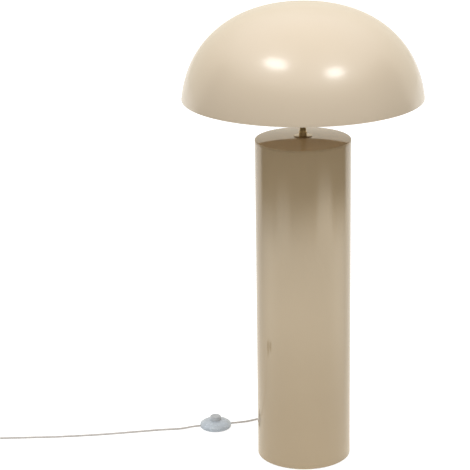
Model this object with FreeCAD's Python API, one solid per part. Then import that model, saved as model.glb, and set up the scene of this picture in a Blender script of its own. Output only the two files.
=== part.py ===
import FreeCAD, Part
import math
import os

# Mushroom floor lamp: a lacquered column with a crowned cap, a short brass stem and a dome shade,
# fed by a thin round cord with a foot switch in it. Millimetres, +Z up, origin on the floor at the
# column's axis, +X to the right and +Y to the back of the lamp.

V = FreeCAD.Vector
UP, BACK, OUT = V(0, 0, 1), V(0, 1, 0), V(1, 0, 0)
CENTRE = V(0, 0, 0)

# ---- clearances ------------------------------------------------------------------------------
seat_gap = 0.05          # between pieces that are clamped, screwed or welded together
slip_gap = 0.3           # between a piece and the hole that it is dropped into
cord_gap = 0.12          # round the cord where it passes through a piece
running_gap = 0.06       # round the foot switch's button in its collar

# ---- column ----------------------------------------------------------------------------------
column_radius = 90.0
column_wall = 1.2
rim_over_column = 78.3       # edge of the column's closed top to the shade's rim
shadow_gap = 1.5             # floor to the lower edge of the tube
cap_sheet = 1.2
cap_crown = 5.0              # rise of the cap from its edge to its middle
cap_edge_radius = 2.0
cap_lip_height = 3.0         # height of the cap's outer edge above the seam
cap_skirt_height = 14.0      # the part of the cap that sits inside the tube
cap_plate_radius = 45.0
cap_plate_thickness = 3.0

# ---- foot ------------------------------------------------------------------------------------
pad_inset = 6.0              # the pad's edge stays hidden under the tube
pad_thickness = 3.0
base_plate_thickness = 3.0
ballast_side_gap = 5.8       # to the brackets' legs
ballast_height = 36.0
ballast_notch_width = 26.0   # way for the lead past the ballast
ballast_notch_depth = 24.0
ballast_edge_radius = 3.0
bracket_leg = 17.0
bracket_height = 18.0
bracket_sheet = 2.0
bracket_arc = 14.0           # degrees of the tube's wall that a bracket covers
brackets = 3
first_bracket = -90.0        # degrees from +X: one bracket at the front, none at the cord's outlet
base_screw_radius = 2.5
base_screw_head_radius = 4.5
base_screw_head_height = 2.2
base_screw_chamfer = 0.6
base_screw_end = 4.0         # thread that stands above the bracket
pad_hole_margin = 2.0        # from a screw head to the edge of the pad's hole round it
ballast_bolt_radius = 3.0
ballast_bolt_inset = 22.0    # from the ballast's side
first_bolt = 30.0            # degrees from +X
ballast_bolt_head_width = 10.0
ballast_bolt_head_height = 4.0

# ---- stem ------------------------------------------------------------------------------------
pipe_radius = 5.0            # M10 lamp pipe
pipe_bore = 3.8
pipe_below_cap = 16.0        # thread below the cap plate
flange_radius = 17.2
flange_thickness = 1.0
flange_edge_radius = 0.4
collar_radius = 7.7
collar_height = 6.5
collar_waist_radius = 7.3
collar_shoulder_height = 3.2
collar_neck_radius = 6.2
collar_neck_height = 8.0
collar_top_radius = 5.6
nut_width = 14.0
nut_height = 5.0
washer_radius = 10.0
washer_thickness = 1.5

# ---- lampholder (E27) ------------------------------------------------------------------------
holder_foot_lift = 0.7       # shade's rim to the underside of the lampholder
holder_cap_radius = 21.0
holder_wall = 1.8
holder_neck_radius = 8.5
holder_neck_height = 8.0
holder_cone_height = 8.0
holder_cap_height = 27.0
holder_thread_radius = 19.8
holder_shoulder_radius = 24.0
holder_shoulder_thickness = 2.5
holder_height = 57.0
insert_thickness = 9.0
insert_lift = 2.0            # from the sleeve's lower end to the insert
wire_hole_radius = 1.6
wire_hole_offset = 9.0
tongue_sheet = 0.5
tongue_width = 5.0
tongue_half_length = 7.0
tongue_nose_length = 10.0
tip_lift = 2.5               # from the insert to the bulb's tip
side_tongue_size = 2.0
side_tongue_width = 4.0
screw_shell_bore = 13.4
screw_shell_wall = 0.5
screw_shell_height = 23.0
screw_shell_lift = 3.0       # from the insert to the lower end of the screw shell
shade_ring_radius = 27.5
shade_ring_height = 8.0
finger_groove_radius = 1.6
finger_groove_depth = 0.8
finger_grooves = 12

# ---- lamp bulb -------------------------------------------------------------------------------
bulb_cap_radius = 13.2
bulb_cap_height = 22.0
bulb_tip_radius = 4.5
bulb_tip_height = 3.0
bulb_insulator_height = 3.5
bulb_insulator_foot_radius = 7.0
bulb_insulator_top_radius = 12.2
bulb_globe_radius = 30.0
bulb_length = 106.0
bulb_neck_radius = 21.0
bulb_body_foot_radius = 14.5
bulb_body_height = 22.0
bulb_wall = 1.0

# ---- shade -----------------------------------------------------------------------------------
shade_rim_height = 711.3     # floor to the shade's rim
shade_radius = 224.6
shade_height = 174.8         # rim to crown
shade_fullness = 2.235       # exponent of the dome's superellipse: 2 is an ellipse
shade_rim_angle = 6.66       # degrees of the superellipse that the rim cuts off
shade_wall = 1.0
rim_lip_width = 4.0
rim_lip_thickness = 1.6
outline_points = 15
spider_sheet = 2.0
spider_hub_radius = 30.0
spider_arm_width = 14.0
spider_arm_inset = 12.6      # end of an arm to the shade's rim, across
lug_leg = 24.0
lug_height = 15.0
lug_sheet = 2.0
lug_width = 14.0
spider_screw_radius = 2.0
spider_screw_head_radius = 3.8
spider_screw_head_height = 2.4
spider_screw_edge = 0.8
spider_screw_end = 2.0       # thread below the lug's leg
arms = 3

# ---- cord ------------------------------------------------------------------------------------
cord_radius = 2.0
outlet_height = 20.0         # floor to the cord's outlet in the back of the column
lead_hang = 117.75           # lead's slack below the pipe's end, inside the column
gland_radius = 6.0
gland_flange_radius = 9.0
gland_flange_thickness = 2.5
gland_nut_width = 17.0
gland_nut_height = 4.0
gland_thread_end = 1.0       # thread inside the nut
relief_length = 26.0
relief_foot_radius = 5.4
relief_tip_radius = 3.2
relief_grooves = 4
relief_groove_width = 1.6
relief_groove_depth = 0.7

# ---- foot switch -----------------------------------------------------------------------------
switch_x = -174.0
switch_y = 123.0
switch_turn = 9.7            # degrees from +X to the line of its two cord entries
switch_radius = 31.25
switch_foot_radius = 28.5
switch_seam_height = 5.0     # floor to the seam between the base and the cover
switch_rim_height = 8.0
switch_crown_height = 15.5
switch_wall = 1.8
button_radius = 10.75
button_top_height = 24.2
button_edge_radius = 1.6
button_flange_width = 1.5
button_flange_thickness = 1.5
button_travel = 3.2
press_margin = 0.35          # left between the bridge and the fixed contacts at full travel
button_wall = 1.7
collar_wall = 1.6
bridge_thickness = 0.5
bridge_width = 3.2
contact_thickness = 0.4
contact_width = 5.0
contact_inner_end = 8.5
block_half_length = 22.0
block_half_width = 9.0
block_floor_thickness = 1.2
terminal_length = 7.5
terminal_height = 7.6
spring_radius = 4.6
spring_wire = 0.4
spring_turns = 6
switch_screw_offset = 23.5
switch_screw_radius = 1.2
switch_screw_head_radius = 2.4
switch_screw_head_height = 1.0
switch_screw_recess = 1.2    # from the floor to the underside of the head's seat
switch_screw_bite = 0.5      # clear depth past the screw's end
spring_post_height = 3.0
base_chine = 0.5             # step of the base's inner wall above its outer bend
switch_boss_radius = 2.8

# ---- put-away coil and plug ------------------------------------------------------------------
coil_x = -652.0
coil_y = 49.0
coil_outer_radius = 27.0     # centre line where the cord joins the coil
coil_step = 4.6              # per turn, inwards or outwards
coil_layer_step = 4.6
coil_layer_turns = 2.0
coil_climb_turns = 0.5
coil_turns = 9.25
tie_width = 8.0
tie_bend = 1.2
tie_thickness = 0.5
tie_gap = 0.1                # between the tie and the lowest turns
tie_angle = -60.0            # degrees from +X round the coil
plug_half_width = 17.6
plug_cord_half_width = 6.2
plug_height = 13.7
plug_length = 36.0
plug_shoulder = 15.0
plug_edge = 3.4
plug_boot_length = 12.0
plug_boot_tip_radius = 3.1
plug_boot_foot_radius = 5.4
pin_tip_radius = 1.4
pin_radius = 2.0
pin_length = 19.0
pin_spacing = 19.0
plug_gap_y = 60.0            # from the coil's centre to the plug's cord end


# ---- sizes worked out from the ones above ----------------------------------------------------
column_edge_height = shade_rim_height - rim_over_column
holder_foot_height = shade_rim_height + holder_foot_lift
column_bore = column_radius - column_wall
pad_radius = column_radius - pad_inset
ballast_radius = column_bore - bracket_leg - ballast_side_gap
ballast_bolt_circle = ballast_radius - ballast_bolt_inset
plate_top = pad_thickness + base_plate_thickness
ballast_top = plate_top + ballast_height
base_screw_circle = column_bore - bracket_leg / 2
seam_height = column_edge_height - cap_lip_height
cap_top = column_edge_height + cap_crown
cap_plate_top = cap_top - cap_sheet - seat_gap
cap_plate_foot = cap_plate_top - cap_plate_thickness
pipe_foot = cap_plate_foot - pipe_below_cap
flange_top = cap_top + flange_thickness
body_foot = holder_foot_height + holder_neck_height + holder_cone_height + holder_wall
shoulder_foot = holder_foot_height + holder_cap_height + 2 * slip_gap
shoulder_top = shoulder_foot + holder_shoulder_thickness
insert_foot = body_foot + insert_lift
insert_top = insert_foot + insert_thickness
pipe_top = holder_foot_height + holder_neck_height
spider_foot = shoulder_top + seat_gap
spider_top = spider_foot + spider_sheet
lug_top = spider_foot - seat_gap
spider_arm_end = shade_radius - spider_arm_inset
spider_screw_circle = spider_arm_end - spider_arm_width / 2
bulb_tip_foot = insert_top + tip_lift
gland_face = math.sqrt(column_radius ** 2 - gland_flange_radius ** 2)
relief_foot = column_radius + gland_flange_thickness
relief_tip = relief_foot + relief_length
nut_face = math.sqrt(column_bore ** 2 - (gland_nut_width / math.sqrt(3)) ** 2) - seat_gap
block_top = switch_wall + block_floor_thickness
contact_top = block_top + contact_thickness
bridge_foot = contact_top + press_margin + button_travel
button_foot = bridge_foot + bridge_thickness
collar_foot = button_foot + button_flange_thickness + seat_gap
coil_height = cord_radius + tie_thickness + tie_gap
bulb_cap_foot = bulb_tip_foot + bulb_tip_height + bulb_insulator_height
bulb_body_foot = bulb_cap_foot + bulb_cap_height
globe_foot = bulb_body_foot + bulb_body_height


# ---- helpers ---------------------------------------------------------------------------------
def polyline(points):
    """Straight edges through (radius, height) pairs of the half section."""
    spots = [V(r, 0, z) for r, z in points]
    return [Part.LineSegment(a, b).toShape() for a, b in zip(spots, spots[1:])]


def turned(edges, degrees=360.0):
    """Solid turned about the vertical axis from the closed edges of its half section."""
    return Part.Face(Part.Wire(edges)).revolve(CENTRE, UP, degrees)


def turned_points(points, degrees=360.0):
    return turned(polyline(points + points[:1]), degrees)


def arc_edge(start, middle, end):
    return Part.Arc(V(start[0], 0, start[1]), V(middle[0], 0, middle[1]), V(end[0], 0, end[1])).toShape()


def rod(radius, foot, direction, length):
    return Part.makeCylinder(radius, length, foot, direction)


def washer(outer, inner, foot, height):
    disc = rod(outer, V(0, 0, foot), UP, height)
    return disc.cut(rod(inner, V(0, 0, foot), UP, height))


def hexagon(across_flats, foot, direction, height):
    """Hexagonal bar that starts at foot and runs along direction."""
    corner = across_flats / math.sqrt(3)
    angles = [math.radians(60 * k) for k in range(7)]
    spots = [V(corner * math.cos(angle), corner * math.sin(angle), 0) for angle in angles]
    bar = Part.Face(Part.makePolygon(spots)).extrude(V(0, 0, height))
    bar.Placement = FreeCAD.Placement(foot, FreeCAD.Rotation(UP, direction))
    return bar


def at_height(edge, height):
    return abs(edge.BoundBox.ZMin - height) < 0.01 and abs(edge.BoundBox.ZMax - height) < 0.01


def turned_round(shape, count, first_degrees=90.0):
    """Copies of a shape that is made at +X, evenly round the axis."""
    copies = []
    for k in range(count):
        copy = shape.copy()
        copy.rotate(CENTRE, UP, first_degrees + 360.0 * k / count)
        copies.append(copy)
    return copies


def save(name, shapes):
    shape = Part.makeCompound(shapes) if isinstance(shapes, list) else shapes
    shape.exportStep("parts/" + name + ".step")


# ---- foot and column -------------------------------------------------------------------------
def crown_height(radius, sheet=0.0):
    """Height of the cap's crowned skin, or of the face that lies a sheet below it."""
    flat = column_radius - cap_edge_radius
    sphere = (flat ** 2 + cap_crown ** 2) / (2 * cap_crown)
    return cap_top - sphere + math.sqrt((sphere - sheet) ** 2 - radius ** 2)


def crown_arc(outer, sheet, inward):
    ends = [(outer, crown_height(outer, sheet)), (0.0, crown_height(0.0, sheet))]
    middle = (outer / 2, crown_height(outer / 2, sheet))
    start, end = ends if inward else reversed(ends)
    return arc_edge(start, middle, end)


def foot_pad():
    pad = rod(pad_radius, CENTRE, UP, pad_thickness)
    hole = rod(base_screw_head_radius + pad_hole_margin, V(base_screw_circle, 0, 0), UP, pad_thickness)
    return pad.cut(turned_round(hole, brackets, first_bracket))


def base_plate():
    plate = rod(column_bore - slip_gap, V(0, 0, pad_thickness), UP, base_plate_thickness)
    foot, height = pad_thickness, base_plate_thickness
    hole = rod(base_screw_radius + seat_gap, V(base_screw_circle, 0, foot), UP, height)
    tapped = rod(ballast_bolt_radius + seat_gap, V(ballast_bolt_circle, 0, foot), UP, height)
    return plate.cut(turned_round(hole, brackets, first_bracket) + turned_round(tapped, brackets, first_bolt))


def base_bracket():
    """Angle welded to the tube's wall, with its leg on the base plate."""
    outer, inner = column_bore - seat_gap, column_bore - bracket_leg
    leg_top = plate_top + bracket_sheet
    bracket = turned_points([
        (inner, plate_top), (outer, plate_top), (outer, plate_top + bracket_height),
        (outer - bracket_sheet, plate_top + bracket_height), (outer - bracket_sheet, leg_top),
        (inner, leg_top),
    ], bracket_arc)
    bracket.rotate(CENTRE, UP, -bracket_arc / 2)
    hole = rod(base_screw_radius + seat_gap, V(base_screw_circle, 0, plate_top), UP, bracket_sheet)
    return bracket.cut(hole)


def base_screw():
    head_foot = pad_thickness - base_screw_head_height
    head = rod(base_screw_head_radius, V(base_screw_circle, 0, head_foot), UP, base_screw_head_height)
    head = head.makeChamfer(base_screw_chamfer, [e for e in head.Edges if at_height(e, head_foot)])
    shank_length = base_plate_thickness + bracket_sheet + base_screw_end
    return head.fuse(rod(base_screw_radius, V(base_screw_circle, 0, pad_thickness), UP, shank_length))


def ballast():
    weight = rod(ballast_radius, V(0, 0, plate_top), UP, ballast_height)
    weight = weight.makeFillet(ballast_edge_radius, [e for e in weight.Edges if at_height(e, ballast_top)])
    corner = V(-ballast_notch_width / 2, ballast_radius - ballast_notch_depth, plate_top)
    notch = Part.makeBox(ballast_notch_width, ballast_notch_depth * 2, ballast_height, corner)
    hole = rod(ballast_bolt_radius + slip_gap, V(ballast_bolt_circle, 0, plate_top), UP, ballast_height)
    return weight.cut([notch] + turned_round(hole, brackets, first_bolt))


def ballast_bolt():
    at = V(ballast_bolt_circle, 0, ballast_top)
    head = hexagon(ballast_bolt_head_width, at, UP, ballast_bolt_head_height)
    shank_length = ballast_top - pad_thickness
    shank = rod(ballast_bolt_radius, V(ballast_bolt_circle, 0, pad_thickness), UP, shank_length)
    return head.fuse(shank)


def column_tube():
    tube = washer(column_radius, column_bore, shadow_gap, seam_height - shadow_gap)
    outlet = rod(gland_radius + slip_gap, V(0, column_radius / 2, outlet_height), BACK, column_radius)
    return tube.cut(outlet)


def column_cap():
    """Pressed cap: crowned skin, rounded edge, lip on the tube's end and a skirt inside the tube."""
    flat = column_radius - cap_edge_radius
    skirt = column_bore - slip_gap
    bend = cap_edge_radius * math.sin(math.radians(45))
    edge_arc = arc_edge(
        (flat, column_edge_height),
        (flat + bend, column_edge_height - cap_edge_radius + bend),
        (column_radius, column_edge_height - cap_edge_radius),
    )
    lip_foot = seam_height + seat_gap
    inner = skirt - cap_sheet
    inner_top = crown_height(inner, cap_sheet)
    walls = polyline([
        (column_radius, column_edge_height - cap_edge_radius), (column_radius, lip_foot), (skirt, lip_foot),
        (skirt, lip_foot - cap_skirt_height), (inner, lip_foot - cap_skirt_height), (inner, inner_top),
    ])
    axis = polyline([(0.0, cap_top - cap_sheet), (0.0, cap_top)])
    top = crown_arc(flat, 0.0, False)
    cap = turned([top, edge_arc] + walls + [crown_arc(inner, cap_sheet, True)] + axis)
    return cap.cut(rod(pipe_radius + seat_gap, V(0, 0, cap_top - cap_crown), UP, 2 * cap_crown))


def cap_plate():
    """Dished plate that spreads the stem's load under the cap."""
    top_sheet = cap_sheet + seat_gap
    foot_sheet = top_sheet + cap_plate_thickness
    rim = polyline([
        (cap_plate_radius, crown_height(cap_plate_radius, top_sheet)),
        (cap_plate_radius, crown_height(cap_plate_radius, foot_sheet)),
    ])
    axis = polyline([(0.0, cap_top - foot_sheet), (0.0, cap_top - top_sheet)])
    top = crown_arc(cap_plate_radius, top_sheet, False)
    foot = crown_arc(cap_plate_radius, foot_sheet, True)
    plate = turned([top] + rim + [foot] + axis)
    return plate.cut(rod(pipe_radius + seat_gap, V(0, 0, cap_plate_foot - cap_crown), UP, 3 * cap_crown))


# ---- stem ------------------------------------------------------------------------------------
def stem_pipe():
    return washer(pipe_radius, pipe_bore, pipe_foot, pipe_top - pipe_foot)


def pipe_nut(foot):
    nut = hexagon(nut_width, V(0, 0, foot), UP, nut_height)
    return nut.cut(rod(pipe_radius + seat_gap, V(0, 0, foot), UP, nut_height))


def pipe_washer(top):
    return washer(washer_radius, pipe_radius + slip_gap, top - washer_thickness, washer_thickness)


def flange():
    foot = cap_top + seat_gap
    disc = rod(flange_radius, V(0, 0, foot), UP, flange_thickness)
    rim = [e for e in disc.Edges if at_height(e, foot + flange_thickness)]
    disc = disc.makeFillet(flange_edge_radius, rim)
    return disc.cut(rod(pipe_radius + seat_gap, V(0, 0, foot), UP, flange_thickness))


def stem_collar():
    """Turned brass bush: a slightly drawn-in foot, a shoulder and a slim neck round the pipe."""
    foot = flange_top + 2 * seat_gap
    waist = foot + collar_height
    neck = waist + collar_shoulder_height
    top = neck + collar_neck_height
    bore = pipe_radius + seat_gap
    return turned_points([
        (bore, foot), (collar_radius, foot), (collar_waist_radius, waist), (collar_neck_radius, neck),
        (collar_top_radius, top), (bore, top),
    ])


# ---- lampholder ------------------------------------------------------------------------------
def holder_cap():
    foot, neck = holder_foot_height, holder_foot_height + holder_neck_height
    shoulder = neck + holder_cone_height
    top = foot + holder_cap_height
    bore, inner = pipe_radius + seat_gap, holder_cap_radius - holder_wall
    return turned_points([
        (bore, foot), (holder_neck_radius, foot), (holder_neck_radius, neck), (holder_cap_radius, shoulder),
        (holder_cap_radius, top), (inner, top), (inner, shoulder), (holder_neck_radius - holder_wall, neck),
        (bore, neck),
    ])


def holder_body():
    """Sleeve with the shoulder under the shade's spider and the outer thread for the shade ring."""
    socket = holder_cap_radius - holder_wall - seat_gap
    bore = screw_shell_bore + screw_shell_wall + slip_gap
    top = holder_foot_height + holder_height
    return turned_points([
        (socket - holder_wall, body_foot), (socket, body_foot), (socket, shoulder_foot),
        (holder_shoulder_radius, shoulder_foot), (holder_shoulder_radius, shoulder_top),
        (holder_thread_radius, shoulder_top), (holder_thread_radius, top), (bore, top),
        (bore, insert_top + seat_gap), (socket - holder_wall, insert_top + seat_gap),
    ])


def holder_insert():
    radius = holder_cap_radius - 2 * holder_wall - 2 * seat_gap
    disc = rod(radius, V(0, 0, insert_foot), UP, insert_thickness)
    hole = rod(wire_hole_radius, V(wire_hole_offset, 0, insert_foot), UP, insert_thickness)
    return disc.cut(turned_round(hole, 2, 0.0))


def holder_contacts():
    """Springy middle tongue under the bulb's tip, and the side tongue beside the screw shell."""
    half, sheet = tongue_width / 2, tongue_sheet
    nose_foot = bulb_tip_foot - seat_gap - sheet
    end = -tongue_half_length
    foot_strip = Part.makeBox(2 * tongue_half_length, tongue_width, sheet, V(end, -half, insert_top))
    riser = Part.makeBox(sheet, tongue_width, nose_foot - insert_top, V(end, -half, insert_top))
    nose = Part.makeBox(tongue_nose_length, tongue_width, sheet, V(end, -half, nose_foot))
    side = Part.makeBox(side_tongue_size, side_tongue_width, side_tongue_size,
                        V(screw_shell_bore - 2 * side_tongue_size, -side_tongue_width / 2, insert_top))
    return [foot_strip.fuse([riser, nose]), side]


def holder_screw_shell():
    outer = screw_shell_bore + screw_shell_wall
    return washer(outer, screw_shell_bore, insert_top + screw_shell_lift, screw_shell_height)


def shade_ring():
    """Threaded ring that clamps the spider's hub on the lampholder's shoulder, with finger ribs."""
    foot = spider_top + seat_gap
    ring = washer(shade_ring_radius, holder_thread_radius + seat_gap, foot, shade_ring_height)
    groove_at = shade_ring_radius + finger_groove_radius - finger_groove_depth
    groove = rod(finger_groove_radius, V(groove_at, 0, foot), UP, shade_ring_height)
    return ring.cut(turned_round(groove, finger_grooves))


# ---- bulb ------------------------------------------------------------------------------------
def bulb_cap():
    return rod(bulb_cap_radius, V(0, 0, bulb_cap_foot), UP, bulb_cap_height)


def bulb_insulator():
    low, high = bulb_insulator_foot_radius, bulb_insulator_top_radius
    return Part.makeCone(low, high, bulb_insulator_height, V(0, 0, bulb_tip_foot + bulb_tip_height), UP)


def bulb_tip():
    return rod(bulb_tip_radius, V(0, 0, bulb_tip_foot), UP, bulb_tip_height)


def bulb_body():
    foot = V(0, 0, bulb_body_foot)
    return Part.makeCone(bulb_body_foot_radius, bulb_neck_radius, bulb_body_height, foot, UP)


def globe_core(depth):
    """Ball on a neck that runs out to it at a tangent, a given depth inside the globe's skin."""
    ball, neck = bulb_globe_radius - depth, bulb_neck_radius - depth
    middle = bulb_tip_foot + bulb_length - bulb_globe_radius
    drop = middle - globe_foot
    touch_angle = math.acos(ball / math.hypot(drop, neck)) - math.atan2(drop, neck)

    def on_ball(angle):
        return ball * math.cos(angle), middle + ball * math.sin(angle)

    top, touch = on_ball(math.pi / 2), on_ball(touch_angle)
    half = on_ball((touch_angle + math.pi / 2) / 2)
    sides = polyline([(0.0, globe_foot), (neck, globe_foot), touch])
    return turned(sides + [arc_edge(touch, half, top)] + polyline([top, (0.0, globe_foot)]))


def bulb_globe():
    return globe_core(0.0).cut(globe_core(bulb_wall))


# ---- shade -----------------------------------------------------------------------------------
def dome_point(degrees, depth):
    """Point of the dome's half section, a given depth inside its outer skin."""
    start = math.radians(shade_rim_angle)
    power = 2.0 / shade_fullness

    def skin(t):
        across = (max(math.cos(t), 0.0) / math.cos(start)) ** power
        low = math.sin(start) ** power
        return shade_radius * across, shade_height * (math.sin(t) ** power - low) / (1 - low)

    t = math.radians(degrees)
    step = 1e-4
    if degrees >= 90.0:
        return 0.0, shade_rim_height + shade_height - depth
    (r0, z0), (r1, z1) = skin(t - step), skin(t + step)
    length = math.hypot(r1 - r0, z1 - z0)
    r, z = skin(t)
    return r - depth * (z1 - z0) / length, shade_rim_height + z + depth * (r1 - r0) / length


def dome_angle_at(height, depth):
    """Angle at which the dome's section reaches a height, found by halving."""
    low, high = shade_rim_angle / 2, 90.0
    for _ in range(50):
        middle = (low + high) / 2
        if dome_point(middle, depth)[1] < height:
            low = middle
        else:
            high = middle
    return high


def dome_curve(depth):
    """Half section from the rim's plane to the crown, with its two end points."""
    first = dome_angle_at(shade_rim_height, depth)
    angles = [first + (90.0 - first) * k / (outline_points - 1) for k in range(outline_points)]
    spots = [V(r, 0, z) for r, z in (dome_point(angle, depth) for angle in angles)]
    curve = Part.BSplineCurve()
    curve.interpolate(Points=spots)
    return curve.toShape(), (spots[0].x, spots[0].z), (spots[-1].x, spots[-1].z)


def shade_dome():
    """Spun dome of even wall with a flat lip turned in at its rim."""
    outer, outer_foot, outer_top = dome_curve(0.0)
    inner, inner_foot, inner_top = dome_curve(shade_wall)
    shell = turned(polyline([inner_foot, outer_foot]) + [outer] + polyline([outer_top, inner_top]) + [inner])
    lip_inner = shade_radius - rim_lip_width
    lip = washer(shade_radius - shade_wall / 2, lip_inner, shade_rim_height, rim_lip_thickness)
    return shell.fuse(lip).removeSplitter()


def shade_spider():
    """One flat sheet: a hub that drops over the lampholder, and arms with rounded ends."""
    hub = rod(spider_hub_radius, V(0, 0, spider_foot), UP, spider_sheet)
    half = spider_arm_width / 2
    arm = Part.makeBox(spider_arm_end - half, spider_arm_width, spider_sheet, V(0, -half, spider_foot))
    arm = arm.fuse(rod(half, V(spider_arm_end - half, 0, spider_foot), UP, spider_sheet))
    spider = hub.fuse(turned_round(arm, arms))
    hole = rod(spider_screw_radius + seat_gap, V(spider_screw_circle, 0, spider_foot), UP, spider_sheet)
    bore = rod(holder_thread_radius + slip_gap, V(0, 0, spider_foot), UP, spider_sheet)
    return spider.cut([bore] + turned_round(hole, arms)).removeSplitter()


def shade_lug():
    """Angle welded to the dome's inner wall, with its leg under a spider arm."""
    foot = lug_top - lug_height
    leg_end = spider_screw_circle - lug_leg / 2
    depth = shade_wall + seat_gap
    r_top, r_foot = (dome_point(dome_angle_at(height, depth), depth)[0] for height in (lug_top, foot))
    arc = math.degrees(lug_width / shade_radius)
    lug = turned_points([
        (leg_end, lug_top), (r_top, lug_top), (r_foot, foot), (r_foot - lug_sheet, foot),
        (r_top - lug_sheet, lug_top - lug_sheet), (leg_end, lug_top - lug_sheet),
    ], arc)
    lug.rotate(CENTRE, UP, -arc / 2)
    return lug.cut(rod(spider_screw_radius + seat_gap, V(spider_screw_circle, 0, foot), UP, lug_height))


def spider_screw():
    seat = spider_top + seat_gap
    head = rod(spider_screw_head_radius, V(spider_screw_circle, 0, seat), UP, spider_screw_head_height)
    rim = [e for e in head.Edges if at_height(e, seat + spider_screw_head_height)]
    shank_foot = lug_top - lug_sheet - spider_screw_end
    shank = rod(spider_screw_radius, V(spider_screw_circle, 0, shank_foot), UP, seat - shank_foot)
    return head.makeFillet(spider_screw_edge, rim).fuse(shank)


# ---- cord: free stretches --------------------------------------------------------------------
def rounded_route(points):
    """Straight runs joined by tangent arcs, each as large as its two runs allow."""
    edges, radii = [], []
    here = points[0]
    for before, corner, after in zip(points, points[1:], points[2:]):
        way_in, way_out = corner - before, after - corner
        reach = 0.45 * min(way_in.Length, way_out.Length)
        way_in.normalize()
        way_out.normalize()
        half_turn = way_in.getAngle(way_out) / 2
        radius = reach / math.tan(half_turn)
        start, end = corner - way_in * reach, corner + way_out * reach
        to_centre = (way_out - way_in).normalize()
        middle = corner + to_centre * (radius / math.cos(half_turn) - radius)
        edges += [Part.LineSegment(here, start).toShape(), Part.Arc(start, middle, end).toShape()]
        radii.append(radius)
        here = end
    edges.append(Part.LineSegment(here, points[-1]).toShape())
    return edges, radii


def swept(edges, radius):
    """Round bar along edges that run on at a tangent."""
    path = Part.Wire(edges)
    first = edges[0]
    start = first.valueAt(first.FirstParameter)
    heading = first.tangentAt(first.FirstParameter)
    ring = Part.Wire(Part.makeCircle(radius, start, heading))
    return path.makePipeShell([ring], True, False)


def cord(name, points):
    edges, radii = rounded_route(points)
    tube = swept(edges, cord_radius)
    length = sum(e.Length for e in edges)
    share = tube.Volume / (math.pi * cord_radius ** 2 * length)
    print(name, "length %.1f" % length, "least radius %.1f" % min(radii), "volume share %.5f" % share)
    return tube


def at_switch(along, across, height):
    """Point beside the foot switch, counted from its middle."""
    turn = math.radians(switch_turn)
    x = switch_x + along * math.cos(turn) - across * math.sin(turn)
    y = switch_y + along * math.sin(turn) + across * math.cos(turn)
    return V(x, y, height)


def base_route():
    """From the bend relief down to the floor, round to the left and into the foot switch."""
    entry = switch_seam_height
    return [
        V(0, relief_tip, outlet_height), V(0, relief_tip + 22.0, outlet_height), V(-5, 165, 12.0),
        V(-27, 184, 4.5), V(-58, 177, 2.0), V(-84, 157, 2.0), V(-109, 140.5, 3.0),
        at_switch(44.0, 0, entry), at_switch(block_half_length, 0, entry),
    ]


def plug_route():
    """From the foot switch to the left along the floor, to the put-away coil."""
    entry = switch_seam_height
    top = coil_y + coil_outer_radius
    return [
        at_switch(-block_half_length, 0, entry), at_switch(-45.0, 0, entry), V(-243, 110.3, 2.0),
        V(-282, 107.8, 2.0), V(-331, 99.6, 2.0), V(-384, 90.6, 2.0), V(-439, 84.0, 2.0), V(-495, 79.6, 2.0),
        V(-550, 78.6, 2.0), V(coil_x + 50.0, top, coil_height), V(coil_x, top, coil_height),
    ]


def inner_route():
    """From the bend relief's tip into the column, up behind the ballast and through the stem."""
    return [
        V(0, relief_tip, outlet_height), V(0, 66, outlet_height), V(0, 49, 44), V(0, 40, 110),
        V(0, 14, pipe_foot - lead_hang), V(0, 0, pipe_foot - 30.0), V(0, 0, insert_foot - seat_gap),
    ]


def cord_gland():
    """Threaded bush through the tube's wall, with a flange outside and a grooved bend relief."""
    start = nut_face - gland_nut_height - gland_thread_end
    neck = rod(gland_radius, V(0, start, outlet_height), BACK, relief_foot - start)
    flange_disc = rod(gland_flange_radius, V(0, gland_face, outlet_height), BACK, relief_foot - gland_face)
    column = rod(column_radius + seat_gap, CENTRE, UP, column_edge_height)
    flange_disc = flange_disc.cut(column)
    relief_start = V(0, relief_foot, outlet_height)
    relief = Part.makeCone(relief_foot_radius, relief_tip_radius, relief_length, relief_start, BACK)
    gland = neck.fuse([flange_disc, relief])
    for k in range(relief_grooves):
        y = relief_foot + relief_length * (k + 1) / (relief_grooves + 1)
        share = (y - relief_foot) / relief_length
        floor = relief_foot_radius + (relief_tip_radius - relief_foot_radius) * share - relief_groove_depth
        at = V(0, y, outlet_height)
        outer = rod(relief_foot_radius + 1.0, at, BACK, relief_groove_width)
        gland = gland.cut(outer.cut(rod(floor, at, BACK, relief_groove_width)))
    return gland.cut(rod(cord_radius + cord_gap, V(0, start, outlet_height), BACK, relief_tip - start))


def gland_nut():
    nut = hexagon(gland_nut_width, V(0, nut_face, outlet_height), -BACK, gland_nut_height)
    return nut.cut(rod(gland_radius + seat_gap, V(0, nut_face, outlet_height), -BACK, gland_nut_height))


# ---- cord: coil, tie and tail ----------------------------------------------------------------
def coil_state(turn):
    """Radius, drift of the radius per turn and height of the coil's centre line at a turn."""
    span = coil_layer_turns + coil_climb_turns
    lead = coil_layer_turns + coil_climb_turns / 2
    count = max(0, math.ceil((turn - lead) / span - 1e-9)) if turn > lead else 0
    if count == 0:
        radius, drift = coil_outer_radius - coil_step * turn, -coil_step
    else:
        last = lead + span * (count - 1)
        inner = coil_outer_radius - coil_step * lead
        start = inner if count % 2 else inner + coil_step * span
        drift = coil_step if count % 2 else -coil_step
        radius = start + drift * (turn - last)
    layer, rest = divmod(turn, span)
    climb = min(1.0, max(0.0, (rest - coil_layer_turns) / coil_climb_turns))
    return radius, drift, coil_height + coil_layer_step * (layer + climb)


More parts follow.
